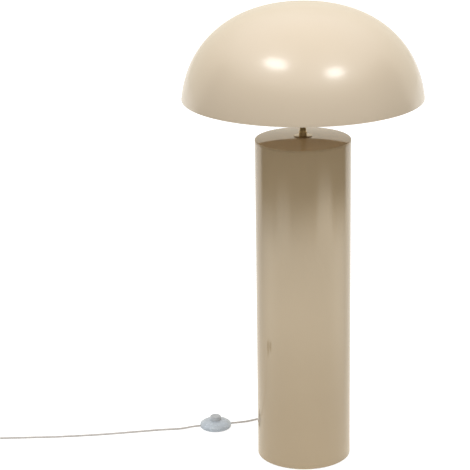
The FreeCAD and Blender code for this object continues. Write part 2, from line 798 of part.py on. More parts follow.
def coil_spot(turn):
    """Point and heading on the coil; the coil turns left from the cord's arrival."""
    radius, drift, height = coil_state(turn)
    angle = math.pi / 2 + 2 * math.pi * turn
    outward = V(math.cos(angle), math.sin(angle), 0)
    forward = V(-math.sin(angle), math.cos(angle), 0)
    span = coil_layer_turns + coil_climb_turns
    rest = turn % span
    rising = coil_layer_turns + 1e-6 < rest < span - 1e-6
    rise = coil_layer_step / coil_climb_turns if rising else 0.0
    heading = forward * (2 * math.pi * radius) + outward * drift + UP * rise
    if turn in (0.0, coil_turns):
        heading = forward
    return V(coil_x, coil_y, 0) + outward * radius + UP * height, heading.normalize()


def arc_between(start, control, end):
    """Arc that leaves start and reaches end along the two legs that meet at control."""
    chord = end - start
    middle = (start + end) * 0.5
    sideways = control - middle
    if sideways.Length < 1e-6:
        return Part.LineSegment(start, end).toShape()
    half_turn = math.atan2(sideways.Length, chord.Length / 2)
    rise = chord.Length / 2 * math.tan(half_turn / 2)
    return Part.Arc(start, middle + sideways.normalize() * rise, end).toShape()


def biarc(start, heading, end, last_heading):
    """Two arcs from one point and heading to another, tangent where they meet."""
    chord = end - start
    both = heading + last_heading
    square = 2 * (1 - heading.dot(last_heading))
    across = chord.dot(both)
    reach = (-across + math.sqrt(across ** 2 + square * chord.dot(chord))) / square
    first, second = start + heading * reach, end - last_heading * reach
    joint = (first + second) * 0.5
    return [arc_between(start, first, joint), arc_between(joint, second, end)]


def least_self_gap(edges, thickness, skip_length):
    """Least clear distance of a wound bar to itself, measured on points of its centre line."""
    spots = []
    walked = 0.0
    for edge in edges:
        for spot in edge.discretize(6)[:-1]:
            if spots:
                walked += (spot - spots[-1][0]).Length
            spots.append((spot, walked))
    least = 1e9
    for i, (a, along_a) in enumerate(spots):
        for b, along_b in spots[i + 1:]:
            if along_b - along_a > skip_length:
                least = min(least, (a - b).Length)
    return least - thickness


def cord_coil():
    """The put-away length: one tube wound inwards and outwards in layers."""
    quarters = int(round(coil_turns * 4))
    edges = []
    for k in range(quarters):
        (a, heading_a), (b, heading_b) = coil_spot(k / 4), coil_spot((k + 1) / 4)
        edges += biarc(a, heading_a, b, heading_b)
    start, heading = coil_spot(coil_turns)
    edges.append(Part.LineSegment(start, start + heading * (2 * cord_radius)).toShape())
    tube = swept(edges, cord_radius)
    length = sum(e.Length for e in edges)
    share = tube.Volume / (math.pi * cord_radius ** 2 * length)
    gap = least_self_gap(edges, 2 * cord_radius, 12 * cord_radius)
    least_radius = min(e.Curve.Radius for e in edges if hasattr(e.Curve, "Radius"))
    print("cord_coil length %.1f" % length, "least radius %.1f" % least_radius, "self gap %.3f" % gap,
          "volume share %.5f" % share)
    return tube


def coil_tie():
    """Flat band round the whole bundle of turns, on its side away from the arriving cord."""
    reach = cord_radius + slip_gap
    inner = coil_outer_radius - coil_step * (coil_layer_turns + coil_climb_turns) - reach - slip_gap
    outer = coil_outer_radius + coil_step * coil_climb_turns / 2 + reach
    layers = math.ceil(coil_turns / (coil_layer_turns + coil_climb_turns))
    top = coil_height + (layers - 1) * coil_layer_step + reach
    foot = tie_thickness
    half = tie_width / 2
    hole = Part.makeBox(outer - inner, tie_width, top - foot, V(inner, -half, foot))
    band = Part.makeBox(
        outer - inner + 2 * tie_thickness, tie_width, top - foot + 2 * tie_thickness,
        V(inner - tie_thickness, -half, foot - tie_thickness),
    )
    band = band.makeFillet(tie_bend, [e for e in band.Edges if abs(e.tangentAt(0).y) > 0.9])
    tie = band.cut(hole)
    tie.rotate(CENTRE, UP, tie_angle)
    tie.translate(V(coil_x, coil_y, 0))
    return tie


def tail_route():
    """From the coil's top layer down to the plug that lies beside the coil."""
    start, heading = coil_spot(coil_turns)
    start = start + heading * (2 * cord_radius)
    end = coil_y - plug_gap_y
    return [
        start, V(start.x, start.y - 10.0, start.z), V(start.x - 0.5, start.y - 26.0, start.z - 4.0),
        V(start.x, end + 16.0, plug_height / 2), V(start.x, end, plug_height / 2),
    ]


# ---- plug ------------------------------------------------------------------------------------
def plug_spot(across, along, height):
    """Point on the plug, which lies along -Y with its cord end towards the coil."""
    return V(tail_route()[-1].x + across, coil_y - plug_gap_y - along, height)


def plug_body():
    """Flat moulded body, wide at its face, with bevelled long edges and a tapered cord boot."""
    wide, slim, deep = plug_half_width, plug_cord_half_width, plug_boot_length
    outline = [
        (-slim, deep), (slim, deep), (wide, plug_shoulder + deep), (wide, plug_length + deep),
        (-wide, plug_length + deep), (-wide, plug_shoulder + deep), (-slim, deep),
    ]
    face = Part.Face(Part.makePolygon([plug_spot(x, y, 0) for x, y in outline]))
    body = face.extrude(V(0, 0, plug_height))
    sides = [e for e in body.Edges if abs(e.tangentAt(0).z) < 0.1 and not on_plug_end(e)]
    body = body.makeChamfer(plug_edge, sides)
    boot = Part.makeCone(plug_boot_tip_radius, plug_boot_foot_radius, plug_boot_length,
                         plug_spot(0, 0, plug_height / 2), -BACK)
    return body.fuse(boot)


def on_plug_end(edge):
    return abs(edge.tangentAt(0).x) > 0.99


def plug_pins():
    pins = []
    for side in (-1, 1):
        foot = plug_spot(side * pin_spacing / 2, plug_length + plug_boot_length, plug_height / 2)
        pin = rod(pin_radius, foot, -BACK, pin_length)
        tip_y = foot.y - pin_length
        pin = pin.makeFillet(pin_tip_radius, [e for e in pin.Edges if e.BoundBox.YMax < tip_y + 0.01])
        pins.append(pin)
    return pins


# ---- foot switch -----------------------------------------------------------------------------
def placed(shape):
    """Moves a piece that was made at the origin to the foot switch's place on the floor."""
    shape = shape.copy()
    there = FreeCAD.Placement(at_switch(0, 0, 0), FreeCAD.Rotation(UP, switch_turn))
    shape.Placement = there * shape.Placement
    return shape


def entry_holes():
    """The two ways for the cord through the switch's wall, on the seam."""
    radius = cord_radius + cord_gap
    return rod(radius, V(-switch_radius - 1, 0, switch_seam_height), OUT, 2 * switch_radius + 2)


def screw_spots():
    return [V(0, side * switch_screw_offset, 0) for side in (-1, 1)]


def screw_hole_top():
    return cover_arc_height(switch_screw_offset) - 2 * switch_wall


def switch_base():
    seam, bend, inner = switch_seam_height, switch_seam_height / 2, switch_radius - switch_wall
    shell = turned_points([
        (0, 0), (switch_foot_radius, 0), (switch_radius, bend), (switch_radius, seam), (inner, seam),
        (inner, bend + base_chine), (switch_foot_radius - switch_wall / 2, switch_wall), (0, switch_wall),
    ])
    tools = [entry_holes()]
    for spot in screw_spots():
        tools.append(rod(switch_screw_head_radius + slip_gap, spot, UP, switch_screw_recess))
        tools.append(rod(switch_screw_radius + seat_gap, spot, UP, switch_wall))
    return placed(shell.cut(tools))


def cover_arc_height(radius, depth=0.0):
    """Height of the cover's domed top between its rim and its collar."""
    inner = button_radius + running_gap + collar_wall
    rise = switch_crown_height - switch_rim_height
    run = switch_radius - inner
    sphere = (run ** 2 + rise ** 2) / (2 * rise)
    return switch_crown_height - sphere + math.sqrt((sphere - depth) ** 2 - (radius - inner) ** 2)


def switch_cover():
    """Domed cover with the collar that guides the button and two screw bosses."""
    bore = button_radius + running_gap
    neck = bore + collar_wall
    seam = switch_seam_height + seat_gap
    inner_rim = switch_radius - switch_wall
    mid_out, mid_in = (switch_radius + neck) / 2, (inner_rim + neck) / 2
    crown, inner_crown = switch_crown_height, switch_crown_height - switch_wall
    inner_corner = (inner_rim, cover_arc_height(inner_rim, switch_wall))
    outer = arc_edge((switch_radius, switch_rim_height), (mid_out, cover_arc_height(mid_out)), (neck, crown))
    inner = arc_edge((neck, inner_crown), (mid_in, cover_arc_height(mid_in, switch_wall)), inner_corner)
    collar = polyline([
        (neck, crown), (bore, crown), (bore, collar_foot), (neck, collar_foot), (neck, inner_crown),
    ])
    rim = polyline([
        inner_corner, (inner_rim, seam), (switch_radius, seam), (switch_radius, switch_rim_height),
    ])
    cover = turned([outer] + collar + [inner] + rim)
    for spot in screw_spots():
        top = cover_arc_height(switch_screw_offset) - switch_wall / 2
        boss = rod(switch_boss_radius, spot + UP * (switch_wall + seat_gap), UP, top - switch_wall - seat_gap)
        cover = cover.fuse(boss)
    holes = [rod(switch_screw_radius + seat_gap, spot, UP, screw_hole_top()) for spot in screw_spots()]
    return placed(cover.cut(holes + [entry_holes()]))


def switch_screws():
    screws = []
    for spot in screw_spots():
        seat = spot + UP * switch_screw_recess
        head = rod(switch_screw_head_radius, seat, -UP, switch_screw_head_height)
        shank = rod(switch_screw_radius, seat, UP, screw_hole_top() - switch_screw_bite - switch_screw_recess)
        screws.append(placed(head.fuse(shank)))
    return screws


def switch_button():
    """Hollow button with a flange that stops it under the cover's collar."""
    top, foot = button_top_height, button_foot
    pocket = button_radius - button_wall
    button = rod(button_radius, V(0, 0, foot), UP, top - foot)
    button = button.makeFillet(button_edge_radius, [e for e in button.Edges if e.BoundBox.ZMin > top - 0.01])
    button = button.fuse(rod(button_radius + button_flange_width, V(0, 0, foot), UP, button_flange_thickness))
    return placed(button.cut(rod(pocket, V(0, 0, foot), UP, top - foot - 2 * button_wall)))


def contact_bridge():
    """Brass ring under the button that joins the two fixed contacts when the button is down."""
    outer = button_radius + button_flange_width
    ring = washer(outer, outer - bridge_width, bridge_foot, bridge_thickness - seat_gap)
    return placed(ring)


def switch_block():
    """Insulating block on the base's floor, with a terminal housing at each cord entry."""
    foot = switch_wall + seat_gap
    block = Part.makeBox(2 * block_half_length, 2 * block_half_width, block_floor_thickness - seat_gap,
                         V(-block_half_length, -block_half_width, foot))
    for side in (-1, 1):
        low = min(side * block_half_length, side * (block_half_length - terminal_length))
        block = block.fuse(Part.makeBox(terminal_length, 2 * block_half_width, terminal_height - foot,
                                        V(low, -block_half_width, foot)))
    post = rod(spring_radius - spring_wire - 2 * slip_gap, V(0, 0, foot), UP, spring_post_height)
    return placed(block.fuse(post).removeSplitter())


def switch_contacts():
    strips = []
    reach = block_half_length - terminal_length - seat_gap
    for side in (-1, 1):
        low = min(side * contact_inner_end, side * reach)
        strip = Part.makeBox(reach - contact_inner_end, contact_width, contact_thickness,
                             V(low, -contact_width / 2, block_top))
        strips.append(placed(strip))
    return strips


def switch_spring():
    """Open coil spring between the block and the button's pocket."""
    foot = block_top + spring_wire
    top = button_top_height - 2 * button_wall - spring_wire - seat_gap
    pitch = (top - foot) / spring_turns
    edges = []
    for k in range(2 * spring_turns):
        spots = []
        for half in (k, k + 1):
            angle = math.pi * half
            rise = pitch * half / 2
            spot = V(spring_radius * math.cos(angle), spring_radius * math.sin(angle), foot + rise)
            heading = V(-math.sin(angle), math.cos(angle), pitch / (2 * math.pi * spring_radius))
            spots += [spot, heading.normalize()]
        edges += biarc(*spots)
    spring = swept(edges, spring_wire)
    print("switch_spring self gap %.3f" % least_self_gap(edges, 2 * spring_wire, 8 * spring_wire))
    return placed(spring)


# ---- build -----------------------------------------------------------------------------------
os.makedirs("parts", exist_ok=True)

save("foot_pad", foot_pad())
save("base_plate", base_plate())
save("base_brackets", turned_round(base_bracket(), brackets, first_bracket))
save("base_screws", turned_round(base_screw(), brackets, first_bracket))
save("ballast", ballast())
save("ballast_bolts", turned_round(ballast_bolt(), brackets, first_bolt))
save("column_tube", column_tube())
save("column_cap", column_cap())
save("cap_plate", cap_plate())

save("stem_pipe", stem_pipe())
lower_washer_top = crown_height(washer_radius, cap_sheet + seat_gap + cap_plate_thickness) - seat_gap
holder_nut_foot = holder_foot_height - seat_gap - washer_thickness - nut_height
save("pipe_nuts", [pipe_nut(lower_washer_top - washer_thickness - nut_height), pipe_nut(holder_nut_foot)])
save("pipe_washers", [pipe_washer(lower_washer_top), pipe_washer(holder_foot_height - seat_gap)])
save("flange", flange())
save("stem_collar", stem_collar())

save("holder_cap", holder_cap())
save("holder_body", holder_body())
save("holder_insert", holder_insert())
save("holder_contacts", holder_contacts())
save("holder_screw_shell", holder_screw_shell())
save("shade_ring", shade_ring())

save("bulb_cap", bulb_cap())
save("bulb_insulator", bulb_insulator())
save("bulb_tip", bulb_tip())
save("bulb_body", bulb_body())
save("bulb_globe", bulb_globe())

save("shade_dome", shade_dome())
save("shade_spider", shade_spider())
save("shade_lugs", turned_round(shade_lug(), arms))
save("spider_screws", turned_round(spider_screw(), arms))

save("cord_gland", cord_gland())
save("gland_nut", gland_nut())
save("inner_lead", cord("inner_lead", inner_route()))
save("cord_base", cord("cord_base", base_route()))
save("cord_run", cord("cord_run", plug_route()))
save("cord_coil", cord_coil())
save("coil_tie", coil_tie())
save("cord_tail", cord("cord_tail", tail_route()))
save("plug_body", plug_body())
save("plug_pins", plug_pins())

save("switch_base", switch_base())
save("switch_cover", switch_cover())
save("switch_screws", switch_screws())
save("switch_button", switch_button())
save("contact_bridge", contact_bridge())
save("switch_block", switch_block())
save("switch_contacts", switch_contacts())
save("switch_spring", switch_spring())
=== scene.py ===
import math

import bpy
from mathutils import Matrix, Vector


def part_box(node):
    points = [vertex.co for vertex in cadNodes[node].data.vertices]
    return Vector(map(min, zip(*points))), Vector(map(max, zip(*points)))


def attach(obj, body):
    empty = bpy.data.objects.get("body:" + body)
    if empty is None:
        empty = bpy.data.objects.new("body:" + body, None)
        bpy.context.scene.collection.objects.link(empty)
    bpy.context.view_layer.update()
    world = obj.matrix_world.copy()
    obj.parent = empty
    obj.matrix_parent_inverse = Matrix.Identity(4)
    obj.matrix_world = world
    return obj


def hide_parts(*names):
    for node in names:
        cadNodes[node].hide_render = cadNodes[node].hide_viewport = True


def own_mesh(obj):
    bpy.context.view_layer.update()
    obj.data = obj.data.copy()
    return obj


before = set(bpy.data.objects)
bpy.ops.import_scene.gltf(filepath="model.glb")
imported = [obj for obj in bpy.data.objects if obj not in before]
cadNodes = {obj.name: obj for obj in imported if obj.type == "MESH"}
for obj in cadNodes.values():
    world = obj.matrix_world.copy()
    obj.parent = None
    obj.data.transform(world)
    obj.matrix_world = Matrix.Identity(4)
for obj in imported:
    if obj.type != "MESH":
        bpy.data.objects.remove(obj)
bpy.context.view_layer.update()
mm = 0.001
print("frame loaded")

# camera at the photograph's place: metres, degrees, mm of lens
photoView = {
    "place": (-0.129018, -3.283921, 1.494805),
    "pitchDown": 17.7014,
    "roll": -0.86698,
    "lens": 139.643,
    "sensor": 36.0,
    "clip": (0.05, 60.0),
}


def addCamera(view):
    bpy.ops.object.camera_add(location=view["place"])
    camera = bpy.context.object
    camera.name = "photoCamera"
    camera.data.sensor_fit = "HORIZONTAL"
    camera.data.sensor_width = view["sensor"]
    camera.data.lens = view["lens"]
    camera.data.clip_start, camera.data.clip_end = view["clip"]
    tilt = Matrix.Rotation(math.radians(90.0 - view["pitchDown"]), 4, "X")
    roll = Matrix.Rotation(math.radians(view["roll"]), 4, "Z")
    camera.matrix_world = Matrix.Translation(view["place"]) @ tilt @ roll
    bpy.context.scene.camera = camera


addCamera(photoView)
print("camera placed")

# cords: routes as the part lays them
cordLook = {"diameter": 4.0, "stepsPerPoint": 8, "roundness": 5}
switchSpot = {"x": -174.0, "y": 123.0, "turn": 9.7, "entryHeight": 5.0, "entryReach": 22.0}
outlet = {"height": 20.0, "tip": 118.5}
coilLook = {
    "x": -652.0, "y": 49.0, "radius": 27.0, "endRadius": 25.85, "step": 4.6, "layerStep": 4.6,
    "layerTurns": 2.0, "climbTurns": 0.5, "turns": 9.25, "height": 2.6, "pointsPerTurn": 16,
}
plugSpot = {"cordEnd": -11.0, "height": 13.7}


def atSwitch(along, across, height):
    turn = math.radians(switchSpot["turn"])
    x = switchSpot["x"] + along * math.cos(turn) - across * math.sin(turn)
    y = switchSpot["y"] + along * math.sin(turn) + across * math.cos(turn)
    return (x, y, height)


def coilPoints(coil):
    # wound inwards and outwards in layers, with a half-turn climb where it turns back
    span = coil["layerTurns"] + coil["climbTurns"]
    lead = coil["layerTurns"] + coil["climbTurns"] / 2
    stretch = 1.0 / math.cos(math.pi / coil["pointsPerTurn"])
    points = []
    for k in range(int(coil["turns"] * coil["pointsPerTurn"]) + 1):
        turn = k / coil["pointsPerTurn"]
        if turn <= lead:
            radius = coil["radius"] - coil["step"] * turn
        else:
            leg, along = divmod(turn - lead, span)
            inner = coil["radius"] - coil["step"] * lead
            outward = int(leg) % 2 == 0
            radius = inner + coil["step"] * (along if outward else span - along)
        layer, rest = divmod(turn, span)
        climb = min(1.0, max(0.0, (rest - coil["layerTurns"]) / coil["climbTurns"]))
        angle = math.pi / 2 + 2 * math.pi * turn
        points.append((
            coil["x"] + stretch * radius * math.cos(angle),
            coil["y"] + stretch * radius * math.sin(angle),
            coil["height"] + coil["layerStep"] * (layer + climb),
        ))
    return points


entry, reach = switchSpot["entryHeight"], switchSpot["entryReach"]
baseRoute = [
    (0, outlet["tip"], outlet["height"]), (0, outlet["tip"] + 22.0, outlet["height"]), (-5, 165, 12.0),
    (-27, 184, 4.5), (-58, 177, 2.0), (-84, 157, 2.0), (-109, 140.5, 3.0),
    atSwitch(44.0, 0, entry), atSwitch(reach, 0, entry),
]
plugRoute = [
    atSwitch(-reach, 0, entry), atSwitch(-45.0, 0, entry), (-243, 110.3, 2.0),
    (-282, 107.8, 2.0), (-331, 99.6, 2.0), (-384, 90.6, 2.0), (-439, 84.0, 2.0), (-495, 79.6, 2.0),
    (-550, 78.6, 2.0), (-602, 76.0, 2.6),
]
tailX = coilLook["x"] - coilLook["endRadius"]
tailZ = coilLook["height"] + 3 * coilLook["layerStep"]
plugMiddle = plugSpot["height"] / 2
tailRoute = [
    (tailX, 35.0, tailZ), (tailX - 0.5, 19.0, tailZ - 4.0),
    (tailX, plugSpot["cordEnd"] + 16.0, plugMiddle), (tailX, plugSpot["cordEnd"], plugMiddle),
]


def addCord(name, route, look):
    curve = bpy.data.curves.new(name, "CURVE")
    curve.dimensions = "3D"
    curve.resolution_u = look["stepsPerPoint"]
    curve.bevel_depth = look["diameter"] / 2 * mm
    curve.bevel_resolution = look["roundness"]
    curve.use_fill_caps = True
    spline = curve.splines.new("NURBS")
    spline.points.add(len(route) - 1)
    for spot, at in zip(spline.points, route):
        spot.co = (at[0] * mm, at[1] * mm, at[2] * mm, 1.0)
    spline.order_u = 3
    spline.use_endpoint_u = True
    spline.use_smooth = True
    cord = bpy.data.objects.new(name, curve)
    bpy.context.scene.collection.objects.link(cord)
    return cord


baseCord = addCord("baseCord", baseRoute, cordLook)
plugCord = addCord("plugCord", plugRoute + coilPoints(coilLook) + tailRoute, cordLook)
print("cords laid")


# ways of working
def deselectAll():
    bpy.ops.object.select_all(action="DESELECT")


def pickOnly(piece):
    deselectAll()
    piece.select_set(True)
    bpy.context.view_layer.objects.active = piece


def startEdit():
    bpy.ops.object.mode_set(mode="EDIT")
    bpy.ops.mesh.select_mode(type="VERT")


def endEdit():
    bpy.ops.object.mode_set(mode="OBJECT")


def pickVerts(piece, test):
    # edit mode: selects the vertices whose place passes the test
    bpy.ops.mesh.select_all(action="DESELECT")
    endEdit()
    for vert in piece.data.vertices:
        vert.select = bool(test(vert.co))
    bpy.ops.object.mode_set(mode="EDIT")


def smoothByAngle(piece, degrees=35.0):
    pickOnly(piece)
    bpy.ops.object.shade_smooth_by_angle(angle=math.radians(degrees))


def settle(piece):
    # its place goes into its mesh
    pickOnly(piece)
    bpy.ops.object.transform_apply(location=True, rotation=True, scale=True)


def applyAll(piece):
    pickOnly(piece)
    for modifier in list(piece.modifiers):
        bpy.ops.object.modifier_apply(modifier=modifier.name)


def turnRings(name, rings, sides=96, ringLoop=False):
    # rings are (radius, height); the first or last radius may be 0, a closed pole
    deselectAll()
    rings = [(max(radius, 0.0) * mm, height * mm) for radius, height in rings]
    poleFirst = rings[0][0] == 0.0
    first = rings[1] if poleFirst else rings[0]
    fill = "TRIFAN" if poleFirst else "NOTHING"
    bpy.ops.mesh.primitive_circle_add(
        vertices=sides, radius=first[0], fill_type=fill, location=(0, 0, first[1]))
    piece = bpy.context.object
    piece.name = name
    settle(piece)
    startEdit()
    if poleFirst:
        pickVerts(piece, lambda co: co.xy.length < first[0] / 2)
        bpy.ops.transform.translate(value=(0, 0, rings[0][1] - first[1]))
        bpy.ops.mesh.select_all(action="DESELECT")
        pickVerts(piece, lambda co: co.xy.length > first[0] / 2)
    else:
        bpy.ops.mesh.select_all(action="SELECT")
    here = first
    for there in rings[2 if poleFirst else 1:]:
        bpy.ops.mesh.extrude_edges_move(TRANSFORM_OT_translate={"value": (0, 0, there[1] - here[1])})
        if there[0] == 0.0:
            bpy.ops.mesh.merge(type="CENTER")
        elif abs(there[0] - here[0]) > 1e-9:
            grow = there[0] / here[0]
            bpy.ops.transform.resize(value=(grow, grow, 1), center_override=(0, 0, there[1]))
        here = there
    if ringLoop:
        bpy.ops.mesh.select_all(action="DESELECT")
        bpy.ops.mesh.select_mode(type="EDGE")
        bpy.ops.mesh.select_non_manifold()
        bpy.ops.mesh.bridge_edge_loops()
    bpy.ops.mesh.select_all(action="SELECT")
    bpy.ops.mesh.normals_make_consistent(inside=False)
    endEdit()
    return piece


def roundedCorner(middle, radius, fromDegrees, toDegrees, steps=4):
    # points of a round edge about its middle, as (radius, height)
    spots = []
    for k in range(steps + 1):
        angle = math.radians(fromDegrees + (toDegrees - fromDegrees) * k / steps)
        spots.append((middle[0] + radius * math.cos(angle), middle[1] + radius * math.sin(angle)))
    return spots


def lay(piece, place, turnZ=0.0, tiltX=0.0):
    # degrees; the turned piece is then settled
    piece.rotation_euler = (math.radians(tiltX), 0.0, math.radians(turnZ))
    piece.location = Vector(place) * mm
    settle(piece)


def finishPiece(piece, body, finish, slot, *nodes):
    piece.data.materials.clear()
    piece.data.materials.append(finishes[finish])
    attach(piece, body)
    if nodes:
        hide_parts(*nodes)


# finishes
# mottle is a colour that wanders between light and dark, gloss a roughness between low and high,
# and relief a bump of that height; size is that of the noise that they follow
finishLooks = {
    "columnLacquer": {
        "colour": (0.47, 0.358, 0.217), "roughness": 0.05, "sockets": {"IOR": 1.6},
        "mottle": {
            "light": (0.475, 0.362, 0.221), "dark": (0.458, 0.347, 0.209), "size": 160.0, "detail": 2.0,
        },
        "gloss": {"low": 0.045, "high": 0.065, "size": 60.0},
        "relief": {"size": 5.0, "height": 0.004, "strength": 0.35},
    },
    # the same beige paint as the column's lacquer, set paler here: the paleness is painted light from the
    # lamps above
    "shadeEnamelPaintedLight": {
        "colour": (0.70, 0.58, 0.428), "roughness": 0.45,
        "sockets": {"IOR": 1.5, "Coat Weight": 0.85, "Coat Roughness": 0.2},
        "mottle": {
            "light": (0.705, 0.585, 0.433), "dark": (0.688, 0.568, 0.417), "size": 160.0, "detail": 2.0,
        },
        "gloss": {"low": 0.40, "high": 0.50, "size": 60.0},
        "relief": {"size": 4.0, "height": 0.006, "strength": 0.35},
    },
    "agedBrass": {
        "colour": (0.55, 0.42, 0.22), "roughness": 0.4, "sockets": {"Metallic": 1.0},
        "mottle": {"light": (0.59, 0.455, 0.245), "dark": (0.49, 0.37, 0.19), "size": 6.0},
        "gloss": {"low": 0.36, "high": 0.46, "size": 4.0},
    },
    # brass set darker than the collar's aged brass: painted shade where it sits under the lampshade; the
    # low roughness is the polish
    "polishedBrassWithPaintedShade": {
        "colour": (0.32, 0.25, 0.155), "roughness": 0.08, "sockets": {"Metallic": 1.0},
        "mottle": {"light": (0.34, 0.27, 0.17), "dark": (0.29, 0.225, 0.135), "size": 7.0},
        "gloss": {"low": 0.06, "high": 0.12, "size": 5.0},
    },
    "zincSteel": {
        "colour": (0.55, 0.55, 0.54), "roughness": 0.35, "sockets": {"Metallic": 1.0},
        "mottle": {"light": (0.62, 0.62, 0.61), "dark": (0.48, 0.48, 0.48), "size": 9.0, "detail": 5.0},
        "gloss": {"low": 0.28, "high": 0.45, "size": 3.0, "detail": 4.0, "stretch": (1, 1, 0.2)},
    },
    "castIron": {
        "colour": (0.05, 0.05, 0.055), "roughness": 0.7, "sockets": {"Metallic": 0.6},
        "mottle": {"light": (0.07, 0.07, 0.075), "dark": (0.035, 0.035, 0.04), "size": 5.0, "detail": 5.0},
        "relief": {"size": 1.5, "height": 0.3, "detail": 4.0},
    },
    "padRubber": {
        "colour": (0.02, 0.02, 0.02), "roughness": 0.75,
        "mottle": {"light": (0.03, 0.03, 0.03), "dark": (0.015, 0.015, 0.015), "size": 3.0, "detail": 4.0},
        "relief": {"size": 0.9, "height": 0.08, "detail": 3.0},
    },
    "spiderPaint": {
        "colour": (0.66, 0.54, 0.37), "roughness": 0.35,
        "mottle": {"light": (0.67, 0.55, 0.38), "dark": (0.63, 0.51, 0.345), "size": 40.0},
        "relief": {"size": 2.0, "height": 0.01, "strength": 0.4},
    },
    "blackPhenolic": {
        "colour": (0.018, 0.017, 0.016), "roughness": 0.32,
        "mottle": {
            "light": (0.024, 0.022, 0.02), "dark": (0.013, 0.012, 0.012), "size": 4.0, "detail": 4.0,
        },
        "gloss": {"low": 0.26, "high": 0.42, "size": 3.0},
    },
    "holderCeramic": {
        "colour": (0.78, 0.76, 0.70), "roughness": 0.45,
        "mottle": {"light": (0.80, 0.78, 0.73), "dark": (0.72, 0.70, 0.64), "size": 3.0, "detail": 4.0},
    },
    "contactBrass": {
        "colour": (0.70, 0.50, 0.20), "roughness": 0.25, "sockets": {"Metallic": 1.0},
        "mottle": {"light": (0.74, 0.55, 0.24), "dark": (0.60, 0.42, 0.15), "size": 3.0, "detail": 4.0},
    },
    "bulbAluminium": {
        "colour": (0.72, 0.72, 0.72), "roughness": 0.28, "sockets": {"Metallic": 1.0},
        "mottle": {"light": (0.76, 0.76, 0.76), "dark": (0.62, 0.62, 0.62), "size": 5.0},
        "gloss": {"low": 0.22, "high": 0.38, "size": 3.0},
    },
    "bulbBlack": {
        "colour": (0.012, 0.012, 0.014), "roughness": 0.15,
        "mottle": {"light": (0.016, 0.016, 0.018), "dark": (0.009, 0.009, 0.01), "size": 4.0},
    },
    "bulbPlastic": {
        "colour": (0.80, 0.80, 0.77), "roughness": 0.4,
        "mottle": {"light": (0.82, 0.82, 0.79), "dark": (0.77, 0.77, 0.74), "size": 12.0},
        "relief": {"size": 0.6, "height": 0.01},
    },
    "frostedGlobe": {
        "colour": (0.90, 0.89, 0.86), "roughness": 0.38,
        "sockets": {"Transmission Weight": 0.35, "IOR": 1.45},
        "mottle": {"light": (0.92, 0.91, 0.88), "dark": (0.87, 0.86, 0.83), "size": 15.0},
    },
    "cordVinyl": {
        "colour": (0.60, 0.565, 0.53), "roughness": 0.3, "sockets": {"IOR": 1.5},
        "mottle": {"light": (0.64, 0.605, 0.57), "dark": (0.55, 0.515, 0.48), "size": 7.0},
        "gloss": {"low": 0.24, "high": 0.38, "size": 5.0},
    },
    "glandPlastic": {
        "colour": (0.30, 0.28, 0.25), "roughness": 0.42,
        "mottle": {"light": (0.32, 0.30, 0.27), "dark": (0.27, 0.25, 0.22), "size": 4.0},
        "relief": {"size": 0.4, "height": 0.02},
    },
    "tiePlastic": {
        "colour": (0.02, 0.02, 0.02), "roughness": 0.45,
        "mottle": {"light": (0.03, 0.03, 0.03), "dark": (0.014, 0.014, 0.014), "size": 2.0},
    },
    "plugPlastic": {
        "colour": (0.48, 0.47, 0.44), "roughness": 0.34,
        "mottle": {"light": (0.50, 0.49, 0.46), "dark": (0.45, 0.44, 0.41), "size": 8.0},
        "relief": {"size": 0.5, "height": 0.02},
    },
    "pinNickel": {
        "colour": (0.66, 0.64, 0.58), "roughness": 0.18, "sockets": {"Metallic": 1.0},
        "mottle": {"light": (0.70, 0.68, 0.63), "dark": (0.58, 0.56, 0.50), "size": 3.0},
        "gloss": {"low": 0.14, "high": 0.26, "size": 2.0},
    },
    "switchPlastic": {
        "colour": (0.66, 0.73, 0.80), "roughness": 0.22,
        "sockets": {"Transmission Weight": 0.15, "IOR": 1.49},
        "mottle": {"light": (0.69, 0.76, 0.83), "dark": (0.63, 0.70, 0.77), "size": 9.0},
        "gloss": {"low": 0.18, "high": 0.30, "size": 6.0},
    },
    "buttonPlastic": {
        "colour": (0.58, 0.61, 0.64), "roughness": 0.3,
        "sockets": {"Transmission Weight": 0.1, "IOR": 1.49},
        "mottle": {"light": (0.61, 0.64, 0.67), "dark": (0.55, 0.58, 0.61), "size": 5.0},
        "relief": {"size": 0.5, "height": 0.02},
    },
}
nodeFinish = {
    "foot_pad": "padRubber", "base_plate": "zincSteel", "base_brackets": "zincSteel",
    "base_screws": "zincSteel", "ballast": "castIron", "ballast_bolts": "zincSteel",
    "cap_plate": "zincSteel", "pipe_nuts": "agedBrass", "pipe_washers": "zincSteel",
    "stem_pipe": "agedBrass", "holder_cap": "blackPhenolic", "holder_body": "blackPhenolic",
    "holder_insert": "holderCeramic", "holder_contacts": "contactBrass",
    "holder_screw_shell": "contactBrass", "shade_ring": "blackPhenolic", "shade_spider": "spiderPaint",
    "shade_lugs": "spiderPaint", "spider_screws": "zincSteel", "bulb_cap": "bulbAluminium",
    "bulb_insulator": "bulbBlack", "bulb_tip": "bulbAluminium", "bulb_body": "bulbPlastic",
    "gland_nut": "glandPlastic", "inner_lead": "cordVinyl", "coil_tie": "tiePlastic",
    "switch_screws": "zincSteel", "switch_block": "bulbPlastic", "switch_contacts": "contactBrass",
    "contact_bridge": "contactBrass", "switch_spring": "zincSteel",
}
noiseLow, noiseHigh = 0.3, 0.7  # the part of a noise's range that colour and roughness follow


def newFinish(name, colour, roughness, sockets):
    material = bpy.data.materials.new(name)
    material.use_nodes = True
    shader = material.node_tree.nodes["Principled BSDF"]
    shader.inputs["Base Color"].default_value = (*colour, 1.0)
    shader.inputs["Roughness"].default_value = roughness
    for socket, value in sockets.items():
        shader.inputs[socket].default_value = value
    return material


